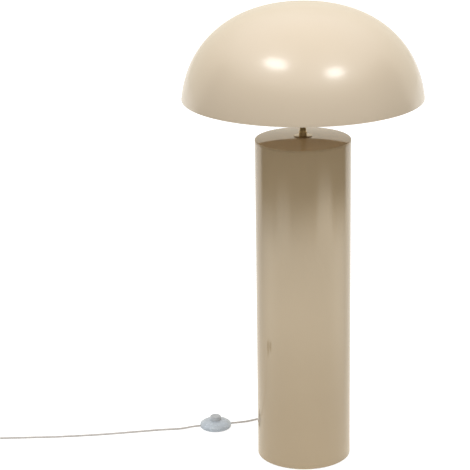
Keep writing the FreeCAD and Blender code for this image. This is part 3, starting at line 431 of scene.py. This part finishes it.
def objectNoise(tree, size, detail, stretch=(1, 1, 1)):
    where = tree.nodes.new("ShaderNodeTexCoord")
    mapping = tree.nodes.new("ShaderNodeMapping")
    mapping.inputs["Scale"].default_value = stretch
    noise = tree.nodes.new("ShaderNodeTexNoise")
    noise.inputs["Scale"].default_value = 1.0 / (size * mm)
    noise.inputs["Detail"].default_value = detail
    tree.links.new(where.outputs["Object"], mapping.inputs["Vector"])
    tree.links.new(mapping.outputs["Vector"], noise.inputs["Vector"])
    return noise.outputs["Fac"]


def mottled(tree, light, dark, size, detail=3.0):
    ramp = tree.nodes.new("ShaderNodeValToRGB")
    low, high = ramp.color_ramp.elements
    low.position, low.color = noiseLow, (*dark, 1.0)
    high.position, high.color = noiseHigh, (*light, 1.0)
    tree.links.new(objectNoise(tree, size, detail), ramp.inputs["Fac"])
    tree.links.new(ramp.outputs["Color"], tree.nodes["Principled BSDF"].inputs["Base Color"])


def unevenGloss(tree, low, high, size, detail=3.0, stretch=(1, 1, 1)):
    spread = tree.nodes.new("ShaderNodeMapRange")
    ends = {"From Min": noiseLow, "From Max": noiseHigh, "To Min": low, "To Max": high}
    for name, number in ends.items():
        spread.inputs[name].default_value = number
    tree.links.new(objectNoise(tree, size, detail, stretch), spread.inputs["Value"])
    tree.links.new(spread.outputs["Result"], tree.nodes["Principled BSDF"].inputs["Roughness"])


def fineRelief(tree, size, height, detail=2.0, strength=1.0):
    bump = tree.nodes.new("ShaderNodeBump")
    bump.inputs["Distance"].default_value = height * mm
    bump.inputs["Strength"].default_value = strength
    tree.links.new(objectNoise(tree, size, detail), bump.inputs["Height"])
    tree.links.new(bump.outputs["Normal"], tree.nodes["Principled BSDF"].inputs["Normal"])


def mixFinish(name, look):
    material = newFinish(name, look["colour"], look["roughness"], look.get("sockets", {}))
    tree = material.node_tree
    mottled(tree, **look["mottle"])
    if "gloss" in look:
        unevenGloss(tree, **look["gloss"])
    if "relief" in look:
        fineRelief(tree, **look["relief"])
    return material


finishes = {name: mixFinish(name, look) for name, look in finishLooks.items()}
print("finishes mixed:", len(finishes))

for node, finish in nodeFinish.items():
    cadNodes[node].data.materials.clear()
    cadNodes[node].data.materials.append(finishes[finish])
print("kept nodes painted:", len(nodeFinish))

# column
column = {"wall": 1.2, "edge": 0.5, "sides": 192}
cap = {
    "sheet": 1.2, "crown": 5.0, "crownSteps": 14, "insideSteps": 6, "hole": 5.05,
    "edgeRadius": 2.0, "edgeFrom": 78, "edgeSteps": 6,  # from 78 degrees, where the crown meets it
    "lipFoot": 630.2, "lipEdge": 0.3, "skirt": 14.0, "skirtGap": 0.3, "sides": 192,
}


def makeColumn(values):
    low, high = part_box("column_tube")
    radius, foot, top = high.x / mm, low.z / mm, high.z / mm
    inner, edge = radius - values["wall"], values["edge"]
    rings = [
        (inner, foot), (radius - edge, foot), (radius, foot + edge), (radius, top - edge),
        (radius - edge, top), (inner, top),
    ]
    piece = turnRings("column", rings, values["sides"], ringLoop=True)
    smoothByAngle(piece)
    return piece


def makeCap(values):
    # a crowned disc with a rounded edge, a lip on the tube and a skirt inside it
    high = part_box("column_cap")[1]
    radius, top, sheet = high.x / mm, high.z / mm, values["sheet"]
    lip, soft, edge = values["lipFoot"], values["lipEdge"], values["edgeRadius"]
    flat = radius - edge
    sphere = (flat ** 2 + values["crown"] ** 2) / (2 * values["crown"])

    def crownHeight(r, depth=0.0):
        return top - sphere + math.sqrt((sphere - depth) ** 2 - r ** 2)

    skirt = radius - column["wall"] - values["skirtGap"]
    inner, skirtFoot = skirt - sheet, lip - values["skirt"]
    hole, outSteps, inSteps = values["hole"], values["crownSteps"], values["insideSteps"]
    outward = [hole + (flat - hole) * k / outSteps for k in range(outSteps + 1)]
    inward = [inner + (hole - inner) * k / inSteps for k in range(inSteps + 1)]
    rings = [(r, crownHeight(r)) for r in outward]
    edgeMiddle = (flat, crownHeight(flat) - edge)
    rings += roundedCorner(edgeMiddle, edge, values["edgeFrom"], 0, values["edgeSteps"])
    rings += [(radius, lip + soft), (radius - soft, lip), (skirt, lip)]
    rings += [(skirt, skirtFoot), (inner, skirtFoot)]
    rings += [(r, crownHeight(r, sheet)) for r in inward]
    piece = turnRings("columnCap", rings, values["sides"], ringLoop=True)
    smoothByAngle(piece)
    return piece


finishPiece(makeColumn(column), "lamp", "columnLacquer", "column_lacquer", "column_tube")
finishPiece(makeCap(cap), "lamp", "columnLacquer", "column_lacquer", "column_cap")
print("column made")

# stem
flange = {"bore": 5.05, "edgeRadius": 0.4, "edgeSteps": 5, "underEdge": 0.2, "sides": 128}
collar = {
    "bore": 5.05, "edge": 0.3, "foot": 7.7, "drum": 7.55, "drumHeight": 1.6,
    "waist": 7.3, "waistHeight": 5.3, "shoulderHeight": 5.9, "shoulderLength": 4.0, "shoulderSteps": 6,
    "neck": 6.2, "topSide": 5.65, "topFace": 5.3, "smoothAngle": 30.0, "sides": 96,
}


def makeFlange(values):
    low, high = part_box("flange")
    radius, foot, top = high.x / mm, low.z / mm, high.z / mm
    edge, under = values["edgeRadius"], values["underEdge"]
    rings = [(values["bore"], foot), (radius - under, foot), (radius, foot + under)]
    rings += roundedCorner((radius - edge, top - edge), edge, 0, 90, values["edgeSteps"])
    rings += [(values["bore"], top)]
    piece = turnRings("flangeDisc", rings, values["sides"], ringLoop=True)
    smoothByAngle(piece)
    return piece


def makeCollar(values):
    # a low drum that draws in over a soft shoulder to a slimmer neck; heights are over the collar's foot
    low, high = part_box("stem_collar")
    foot, top, edge, bore = low.z / mm, high.z / mm, values["edge"], values["bore"]
    wide, slim, steps = values["waist"], values["neck"], values["shoulderSteps"]
    rings = [(bore, foot), (values["foot"] - edge, foot), (values["foot"], foot + edge)]
    rings += [(values["drum"], foot + values["drumHeight"]), (wide, foot + values["waistHeight"])]
    for k in range(steps + 1):
        share = k / steps
        ease = share * share * (3 - 2 * share)
        height = foot + values["shoulderHeight"] + values["shoulderLength"] * share
        rings.append((wide + (slim - wide) * ease, height))
    rings += [(values["topSide"], top - edge), (values["topFace"], top), (bore, top)]
    piece = turnRings("stemCollar", rings, values["sides"], ringLoop=True)
    smoothByAngle(piece, values["smoothAngle"])
    return piece


# the flange takes the darkened polished brass, painted shade
finishPiece(makeFlange(flange), "lamp", "polishedBrassWithPaintedShade", "stem_brass", "flange")
finishPiece(makeCollar(collar), "lamp", "agedBrass", "stem_brass", "stem_collar")
print("stem made")

# shade
dome = {
    "fullness": 2.235,  # exponent of the superellipse
    "rimAngle": 6.66,  # degrees of it that the rim cuts off
    "wall": 1.0, "rings": 44, "ringSpread": 0.9, "hem": 1.0, "hemSteps": 5,
    "lip": 4.0, "lipThickness": 1.6, "lipBead": 0.4, "lipClear": 0.5, "sides": 192,
}


def makeShade(values):
    low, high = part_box("shade_dome")
    radius, rim, rise = high.x / mm, low.z / mm, (high.z - low.z) / mm
    power, rimAngle = 2.0 / values["fullness"], math.radians(values["rimAngle"])
    bottom = math.sin(rimAngle) ** power

    def outline(angle):
        across = (max(math.cos(angle), 0.0) / math.cos(rimAngle)) ** power
        return radius * across, rim + rise * (math.sin(angle) ** power - bottom) / (1 - bottom)

    def skin(angle, depth=0.0, nudge=1e-4):
        # the outline, moved in by depth along its normal
        (r0, z0), (r1, z1) = outline(angle - nudge), outline(angle + nudge)
        long = math.hypot(r1 - r0, z1 - z0)
        r, z = outline(angle)
        return r - depth * (z1 - z0) / long, z + depth * (r1 - r0) / long

    count, hem, lipTop = values["rings"], values["hem"], rim + values["lipThickness"]
    lipEdge = radius - values["lip"]
    turned = [(k / count) ** values["ringSpread"] for k in range(1, count)]
    angles = [math.radians(90.0 - (90.0 - values["rimAngle"]) * share) for share in turned]
    outside = [skin(a) for a in angles]
    inside = [skin(a, values["wall"]) for a in reversed(angles)]
    inside = [spot for spot in inside if spot[1] > lipTop + values["lipClear"]]
    rings = [(0.0, rim + rise)] + [spot for spot in outside if spot[1] > rim + 2 * hem]
    rings += roundedCorner((radius - hem, rim + hem), hem, 0, -90, values["hemSteps"])
    rings += [(lipEdge, rim), (lipEdge - values["lipBead"], (rim + lipTop) / 2), (lipEdge, lipTop)]
    rings += [(inside[0][0], lipTop)] + inside + [(0.0, rim + rise - values["wall"])]
    piece = turnRings("shadeDome", rings, values["sides"])
    smoothByAngle(piece)
    return piece


# the shade takes the paler copy of the column's paint, as painted light
finishPiece(makeShade(dome), "lamp", "shadeEnamelPaintedLight", "shade_enamel", "shade_dome")
print("shade made")

# bulb
globe = {"neck": 21.0, "radius": 30.0, "steps": 24, "lastAngle": 88, "sides": 96}


def makeGlobe(values):
    # a ball on a cone that touches it
    low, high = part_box("bulb_globe")
    ball, neck, foot = values["radius"], values["neck"], low.z / mm
    middle = high.z / mm - ball
    drop = middle - foot
    touch = math.degrees(math.acos(ball / math.hypot(drop, neck)) - math.atan2(drop, neck))
    rings = [(0.0, foot), (neck, foot)]
    rings += roundedCorner((0.0, middle), ball, touch, values["lastAngle"], values["steps"])
    rings += [(0.0, middle + ball)]
    piece = turnRings("bulbGlobe", rings, values["sides"])
    smoothByAngle(piece)
    return piece


finishPiece(makeGlobe(globe), "lamp", "frostedGlobe", "bulb_frosted", "bulb_globe")
print("bulb made")

# cord outlet
gland = {
    "bore": 2.12, "flangeBack": 89.4, "flangeRadius": 9.0, "flangeEdge": 0.8, "foot": 92.5,
    "coneFoot": 5.4, "coneTip": 3.2, "coneFillet": 0.6, "tipSlope": 0.6, "tipEdge": 0.5,
    "grooves": 5, "grooveWidth": 1.7, "grooveDepth": 0.8, "grooveSlope": 0.2,
    "smoothAngle": 28.0, "sides": 64,
}


def makeRelief(values):
    # a flange on the column's back and a grooved cone round the cord
    foot, tip, bore, back = values["foot"], outlet["tip"], values["bore"], values["flangeBack"]
    edge, fillet, slope = values["flangeEdge"], values["coneFillet"], values["grooveSlope"]

    def cone(y):
        return values["coneFoot"] + (values["coneTip"] - values["coneFoot"]) * (y - foot) / (tip - foot)

    rings = [(bore, back), (values["flangeRadius"], back)]
    rings += roundedCorner((values["flangeRadius"] - edge, foot - edge), edge, 0, 90)
    rings += [(cone(foot) + fillet, foot), (cone(foot), foot + fillet)]
    for k in range(values["grooves"]):
        start = foot + (tip - foot) * (k + 1) / (values["grooves"] + 1) - values["grooveWidth"] / 2
        end = start + values["grooveWidth"]
        rings += [(cone(start), start), (cone(start) - values["grooveDepth"], start + slope)]
        rings += [(cone(end) - values["grooveDepth"], end - slope), (cone(end), end)]
    shoulder = tip - values["tipSlope"]
    rings += [(cone(shoulder), shoulder), (cone(tip) - values["tipEdge"], tip), (bore, tip)]
    piece = turnRings("cordRelief", rings, values["sides"], ringLoop=True)
    smoothByAngle(piece, values["smoothAngle"])
    lay(piece, (0.0, 0.0, outlet["height"]), tiltX=-90.0)
    return piece


relief = makeRelief(gland)
finishPiece(relief, "lamp", "glandPlastic", "gland_grey", "cord_gland")
print("cord outlet made")

# foot switch
footSwitch = {
    "radius": 31.25, "wall": 1.8, "edge": 0.3, "seam": 5.0, "seamGap": 0.35,
    # inwards from the side, and up from the floor
    "bend": ((4.25, 0.0), (3.816, 0.038), (2.75, 0.25), (1.1, 1.3), (0.35, 2.1), (0.0, 3.0)),
    "innerFoot": 27.6, "innerBend": 3.0,
    "rim": 8.0, "rimEdge": ((0.0, -0.6), (0.15, 0.1)),  # inwards from the side, and up from the rim
    "crown": 15.5, "skinStart": 0.7, "skinSteps": 14, "innerSteps": 8,
    "bore": 10.81, "collarWall": 1.6, "collarFoot": 9.0, "collarRise": 0.25,
    "collarOuterEdge": 0.5, "collarInnerEdge": 0.4, "collarDrop": 0.1, "smoothAngle": 40.0, "sides": 128,
}
button = {
    "radius": 10.75, "top": 24.2, "wall": 1.7, "edge": 1.6, "edgeFrom": 85, "edgeSteps": 6,
    "dish": 0.35, "dishBend": (0.4, 0.8), "dishEdge": 1.0,  # the bend as shares of radius and depth
    "flangeRadius": 12.2, "flangeHeight": 1.5, "travel": 3.2, "smoothAngle": 40.0, "sides": 96,
}


def makeSwitchBase(values):
    radius, seam, wall, edge = (values[k] for k in ("radius", "seam", "wall", "edge"))
    rings = [(0.0, 0.0)] + [(radius - inset, height) for inset, height in values["bend"]]
    rings += [(radius, seam - edge), (radius - edge, seam), (radius - wall, seam)]
    rings += [(radius - wall, values["innerBend"]), (values["innerFoot"], wall), (0.0, wall)]
    return turnRings("switchBase", rings, values["sides"])


def makeSwitchCover(values):
    # a shallow dome round the collar that the button moves in
    radius, rim, crown, wall, edge = (values[k] for k in ("radius", "rim", "crown", "wall", "edge"))
    bore, lipTop = values["bore"], crown + values["collarRise"]
    neck = bore + values["collarWall"]
    rise, run = crown - rim, radius - neck
    sphere = (run ** 2 + rise ** 2) / (2 * rise)

    def skin(r, depth=0.0):
        return crown - sphere + math.sqrt((sphere - depth) ** 2 - (r - neck) ** 2)

    foot, start, inner = values["seam"] + values["seamGap"], radius - values["skinStart"], radius - wall
    outSteps, inSteps = values["skinSteps"], values["innerSteps"]
    outside = [start - (start - neck) * k / outSteps for k in range(outSteps + 1)]
    inside = [neck + (inner - neck) * k / inSteps for k in range(1, inSteps + 1)]
    rings = [(inner, foot), (radius - edge, foot), (radius, foot + edge)]
    rings += [(radius - inset, rim + height) for inset, height in values["rimEdge"]]
    rings += [(r, skin(r)) for r in outside]
    rings += [(neck - values["collarOuterEdge"], lipTop), (bore + values["collarInnerEdge"], lipTop)]
    rings += [(bore, crown - values["collarDrop"]), (bore, values["collarFoot"])]
    rings += [(neck, values["collarFoot"]), (neck, crown - wall)]
    rings += [(r, skin(r, wall)) for r in inside]
    return turnRings("switchCover", rings, values["sides"], ringLoop=True)


def makeButton(values):
    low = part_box("switch_button")[0].z / mm
    radius, top, edge, dish = (values[k] for k in ("radius", "top", "edge", "dish"))
    pocket, ceiling = radius - values["wall"], top - 2 * values["wall"]
    flangeRadius, flangeTop = values["flangeRadius"], low + values["flangeHeight"]
    bendAt, bendDepth = values["dishBend"]
    rings = [(0.0, top - dish), (radius * bendAt, top - dish * bendDepth)]
    rings += [(radius - edge - values["dishEdge"], top)]
    rings += roundedCorner((radius - edge, top - edge), edge, values["edgeFrom"], 0, values["edgeSteps"])
    rings += [(radius, flangeTop), (flangeRadius, flangeTop), (flangeRadius, low)]
    rings += [(pocket, low), (pocket, ceiling), (0.0, ceiling)]
    return turnRings("switchButton", rings, values["sides"])


switchBase, switchCover = makeSwitchBase(footSwitch), makeSwitchCover(footSwitch)
switchButton = makeButton(button)
for piece, values in ((switchBase, footSwitch), (switchCover, footSwitch), (switchButton, button)):
    smoothByAngle(piece, values["smoothAngle"])
    lay(piece, atSwitch(0, 0, 0), switchSpot["turn"])
finishPiece(switchBase, "lamp", "switchPlastic", "switch_clear", "switch_base")
finishPiece(switchCover, "lamp", "switchPlastic", "switch_clear", "switch_cover")
finishPiece(switchButton, "button", "buttonPlastic", "button_clear", "switch_button")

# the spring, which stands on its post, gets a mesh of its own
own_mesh(cadNodes["switch_spring"])
print("foot switch made")

# plug
plug = {
    "halfWidth": 17.6, "slimHalfWidth": 6.2, "slimHeight": 0.86, "length": 36.0, "shoulder": 15.0,
    "softEdge": 2.6, "softSteps": 4, "softAngle": 20.0, "smoothAngle": 40.0,
}
boot = {
    "bore": 2.12, "length": 12.0, "intoPlug": 2.0, "tip": 3.1, "foot": 5.4, "edge": 0.4, "footEdge": 0.1,
    "grooves": 4, "firstGroove": 1.6, "grooveMargin": 2.4, "grooveWidth": 1.2, "grooveSlope": 0.15,
    "grooveDepths": (0.6, 0.5), "grooveStep": 0.2, "smoothAngle": 28.0, "sides": 64,
}
pin = {
    "spacing": 19.0, "radius": 2.0, "length": 19.0, "tipRadius": 1.4, "tipSteps": 5,
    "sleeve": 10.0, "sleeveRadius": 1.85, "sleeveMargin": 0.2, "smoothAngle": 30.0, "sides": 48,
}
plugBack = plugSpot["cordEnd"] - boot["length"]
pinFoot = plugBack - plug["length"]


def makePlugBody(values):
    # a block whose cord end is drawn in, with soft edges
    long, wide, high = values["length"], 2 * values["halfWidth"], plugSpot["height"]
    deselectAll()
    bpy.ops.mesh.primitive_cube_add(size=1.0)
    piece = bpy.context.object
    piece.name = "plugBody"
    piece.scale = (wide * mm, long * mm, high * mm)
    settle(piece)
    startEdit()
    bpy.ops.mesh.select_all(action="SELECT")
    bpy.ops.mesh.bisect(plane_co=(0, (long / 2 - values["shoulder"]) * mm, 0), plane_no=(0, 1, 0))
    pickVerts(piece, lambda co: co.y > (long - values["shoulder"]) / 2 * mm)
    slim = values["slimHalfWidth"] / values["halfWidth"]
    bpy.ops.transform.resize(value=(slim, 1, values["slimHeight"]), center_override=(0, long / 2 * mm, 0))
    endEdit()
    bevel = piece.modifiers.new("softEdges", "BEVEL")
    bevel.width = values["softEdge"] * mm
    bevel.segments = values["softSteps"]
    bevel.limit_method = "ANGLE"
    bevel.angle_limit = math.radians(values["softAngle"])
    applyAll(piece)
    smoothByAngle(piece, values["smoothAngle"])
    lay(piece, (tailX, plugBack - long / 2, plugMiddle))
    return piece


def makeBoot(values):
    # the grooved bend relief at the plug
    tip, foot, long, bore = values["tip"], values["foot"], values["length"], values["bore"]
    edge, slope, width = values["edge"], values["grooveSlope"], values["grooveWidth"]
    nearDepth, farDepth = values["grooveDepths"]
    rings = [(bore, 0.0), (tip - edge, 0.0), (tip, edge)]
    for k in range(values["grooves"]):
        start = values["firstGroove"] + k * (long - values["grooveMargin"]) / values["grooves"]
        here = tip + (foot - tip) * start / long
        rings += [(here, start), (here - nearDepth, start + slope)]
        rings += [(here - farDepth, start + width - slope), (here + values["grooveStep"], start + width)]
    end = long + values["intoPlug"]
    rings += [(foot, long - values["footEdge"]), (foot, end), (bore, end)]
    piece = turnRings("plugBoot", rings, values["sides"], ringLoop=True)
    smoothByAngle(piece, values["smoothAngle"])
    lay(piece, (tailX, plugSpot["cordEnd"], plugMiddle), tiltX=90.0)
    return piece


def makePin(values, name, side):
    # a round pin with a sleeve at its root, which takes the dark plastic
    radius, long, sleeve, tip = (values[k] for k in ("radius", "length", "sleeve", "tipRadius"))
    rings = [(0.0, 0.0), (values["sleeveRadius"], 0.0), (values["sleeveRadius"], sleeve), (radius, sleeve)]
    rings += roundedCorner((radius - tip, long - tip), tip, 0, 90, values["tipSteps"]) + [(0.0, long)]
    piece = turnRings(name, rings, values["sides"])
    smoothByAngle(piece, values["smoothAngle"])
    lay(piece, (tailX + side * values["spacing"] / 2, pinFoot, plugMiddle), tiltX=90.0)
    finishPiece(piece, "lamp", "pinNickel", "pin_nickel", "plug_pins")
    piece.data.materials.append(finishes["tiePlastic"])
    sleeveEnd = (pinFoot - sleeve + values["sleeveMargin"]) * mm
    for face in piece.data.polygons:
        face.material_index = int(face.center.y > sleeveEnd and abs(face.normal.y) < 0.5)
    return piece


plugBody, plugBoot = makePlugBody(plug), makeBoot(boot)
finishPiece(plugBody, "lamp", "plugPlastic", "plug_grey", "plug_body")
finishPiece(plugBoot, "lamp", "plugPlastic", "plug_grey")
pinLeft, pinRight = makePin(pin, "plugPinLeft", -1), makePin(pin, "plugPinRight", 1)
print("plug made")

# cords take their finish, and the CAD cord nodes they replace are hidden
for cord, nodes in ((baseCord, ("cord_base",)), (plugCord, ("cord_run", "cord_coil", "cord_tail"))):
    finishPiece(cord, "lamp", "cordVinyl", "cord_vinyl", *nodes)

# studio
# a pair that isn't a size is a change, from where it starts to where it ends: metres from the lamp, or a
# direction's share, which is 1 straight that way and -1 straight away from it
lamps = {
    "leftBox": {"place": (-0.80, -0.75, 2.62), "aim": (0.0, 0.0, 0.6), "size": (0.80, 0.45), "power": 12.0},
    "rightBox": {"place": (0.92, -1.12, 2.40), "aim": (0.0, 0.0, 0.6), "size": (0.62, 0.42), "power": 9.8},
}
room = {
    "fill": 0.74,  # the room's light on the lamp
    "glossFront": 0.22,  # how bright gloss sees the room in front, below the lamps
    "glossAbove": 1.3,
    "frontSide": (0.2, 0.5),  # share of the way back
    "frontTop": (0.40, 0.75),  # shares of the way up
    "above": (0.35, 0.8),
}
paper = {
    "size": 24.0,
    "colour": (0.86, 0.86, 0.86),
    "roughness": 0.9,
    "glow": 0.62,
    "farColour": (0.03, 0.026, 0.022),  # of the floor far in front, which only light and reflections meet
    # the floor's glow in reflections close to the lamp, set low: a painted shadow of the lamp
    "glossInLampShadow": 0.7,
    "glossFar": 1.9,
    "glossBehind": 0.6,
    "nearToFar": (0.2, 1.0),  # metres
    "behindToFront": (-0.8, 0.2),  # share of the way to the front
    "sweepEnd": (1.32, 2.05),  # metres
    "sweepSides": (-0.6, -0.35),  # share of the way to the front
}
# where tongues of the white sweep run further out: degrees to the right of the front, half width, metres
tongues = [(50.0, 26.0, 0.26), (-50.0, 22.0, 0.12)]
white = (1.0, 1.0, 1.0)
warmSheen = (1.0, 0.93, 0.78)  # what gloss sees of the floor and of the low room


def addLamp(name, values):
    bpy.ops.object.light_add(type="AREA", location=values["place"])
    lamp = bpy.context.object
    lamp.name = name
    lamp.data.shape = "ELLIPSE"
    lamp.data.size, lamp.data.size_y = values["size"]
    lamp.data.energy = values["power"]
    aim = Vector(values["aim"]) - Vector(values["place"])
    lamp.rotation_euler = aim.to_track_quat("-Z", "Y").to_euler()


def joined(tree, operation, first, second):
    node = tree.nodes.new("ShaderNodeMath")
    node.operation = operation
    for socket, value in zip(node.inputs, (first, second)):
        if isinstance(value, (int, float)):
            socket.default_value = value
        else:
            tree.links.new(value, socket)
    return node.outputs[0]


def ramped(tree, value, span, atStart, atEnd):
    node = tree.nodes.new("ShaderNodeMapRange")
    node.interpolation_type = "SMOOTHSTEP"
    for name, number in zip(("From Min", "From Max", "To Min", "To Max"), (*span, atStart, atEnd)):
        node.inputs[name].default_value = number
    tree.links.new(value, node.inputs["Value"])
    return node.outputs["Result"]


def toned(tree, factor, first, second, socket):
    # the first colour, turning to the second as the factor rises
    tone = tree.nodes.new("ShaderNodeMix")
    tone.data_type = "RGBA"
    tone.inputs["A"].default_value = (*first, 1.0)
    tone.inputs["B"].default_value = (*second, 1.0)
    tree.links.new(factor, tone.inputs["Factor"])
    tree.links.new(tone.outputs["Result"], socket)


def seenDirectly(tree):
    # camera and transmission rays, then glossy rays
    path = tree.nodes.new("ShaderNodeLightPath")
    direct = joined(tree, "MAXIMUM", path.outputs["Is Camera Ray"], path.outputs["Is Transmission Ray"])
    return direct, path.outputs["Is Glossy Ray"]


def makeWorld(values):
    # white to the eye and an even fill on the lamp; gloss sees it dark in front and brighter above
    world = bpy.data.worlds.new("whiteRoom")
    bpy.context.scene.world = world
    world.use_nodes = True
    tree = world.node_tree
    direct, glossy = seenDirectly(tree)
    where = tree.nodes.new("ShaderNodeTexCoord")
    axes = tree.nodes.new("ShaderNodeSeparateXYZ")
    tree.links.new(where.outputs["Generated"], axes.inputs[0])
    front = ramped(tree, axes.outputs["Y"], values["frontSide"], 1.0, 0.0)
    low = ramped(tree, axes.outputs["Z"], values["frontTop"], 1.0, 0.0)
    dark = ramped(tree, joined(tree, "MULTIPLY", front, low), (0.0, 1.0), 1.0, values["glossFront"])
    above = ramped(tree, axes.outputs["Z"], values["above"], 1.0, values["glossAbove"])
    forGloss = joined(tree, "MULTIPLY", joined(tree, "MULTIPLY", above, dark), glossy)
    forRest = joined(tree, "MULTIPLY", joined(tree, "SUBTRACT", 1.0, glossy), values["fill"])
    strength = joined(tree, "MAXIMUM", joined(tree, "ADD", forGloss, forRest), direct)
    lowGlossy = joined(tree, "MULTIPLY", glossy, ramped(tree, axes.outputs["Z"], values["above"], 1.0, 0.0))
    background = tree.nodes["Background"]
    toned(tree, lowGlossy, white, warmSheen, background.inputs["Color"])
    tree.links.new(strength, background.inputs["Strength"])


def sweepMask(tree, values):
    # 0 on the white sweep round the lamp and 1 on the dark floor in front of it, then the sweep's sheen,
    # the floor's glow that reflections see, lower near the lamp as a painted shadow of it
    def onVector(operation, vector, second=None):
        node = tree.nodes.new("ShaderNodeVectorMath")
        node.operation = operation
        tree.links.new(vector, node.inputs[0])
        if second:
            node.inputs[1].default_value = second
        return node

    where = tree.nodes.new("ShaderNodeTexCoord")
    flat = onVector("MULTIPLY", where.outputs["Object"], (1.0, 1.0, 0.0)).outputs[0]
    distance = onVector("LENGTH", flat).outputs["Value"]
    heading = onVector("NORMALIZE", flat).outputs[0]

    def facing(degrees):
        # 1 straight that way from the lamp, -1 straight away from it
        angle = math.radians(degrees)
        return onVector("DOT_PRODUCT", heading, (math.sin(angle), -math.cos(angle), 0.0)).outputs["Value"]

    reach = distance
    for degrees, half, further in tongues:
        tongue = ramped(tree, facing(degrees), (math.cos(math.radians(half)), 1.0), 0.0, further)
        reach = joined(tree, "SUBTRACT", reach, tongue)
    far = ramped(tree, reach, values["sweepEnd"], 0.0, 1.0)
    mask = joined(tree, "MULTIPLY", far, ramped(tree, facing(0.0), values["sweepSides"], 0.0, 1.0))
    # dim near the lamp: painted shadow of the lamp in reflections
    inFront = ramped(tree, distance, values["nearToFar"], values["glossInLampShadow"], values["glossFar"])
    forward = ramped(tree, facing(0.0), values["behindToFront"], 0.0, 1.0)
    sheen = joined(tree, "MAXIMUM", joined(tree, "MULTIPLY", inFront, forward), values["glossBehind"])
    return mask, sheen


def makeFloor(values):
    deselectAll()
    bpy.ops.mesh.primitive_plane_add(size=values["size"], location=(0, 0, 0))
    floor = bpy.context.object
    floor.name = "floor"
    material = newFinish("paperFloor", values["colour"], values["roughness"], {"Specular IOR Level": 0.0})
    tree = material.node_tree
    shader = tree.nodes["Principled BSDF"]
    direct, glossy = seenDirectly(tree)
    mask, sheen = sweepMask(tree, values)
    dark = joined(tree, "MULTIPLY", mask, joined(tree, "SUBTRACT", 1.0, direct))
    toned(tree, dark, values["colour"], values["farColour"], shader.inputs["Base Color"])
    toEye = joined(tree, "MULTIPLY", direct, values["glow"])
    toGloss = joined(tree, "MULTIPLY", glossy, sheen)
    glow = joined(tree, "MAXIMUM", toEye, toGloss)
    glow = joined(tree, "MULTIPLY", glow, joined(tree, "SUBTRACT", 1.0, dark))
    toned(tree, glossy, white, warmSheen, shader.inputs["Emission Color"])
    tree.links.new(glow, shader.inputs["Emission Strength"])
    floor.data.materials.append(material)


for name, values in lamps.items():
    addLamp(name, values)
makeWorld(room)
makeFloor(paper)
bpy.context.scene.view_settings.view_transform = "Standard"
print("studio lit")
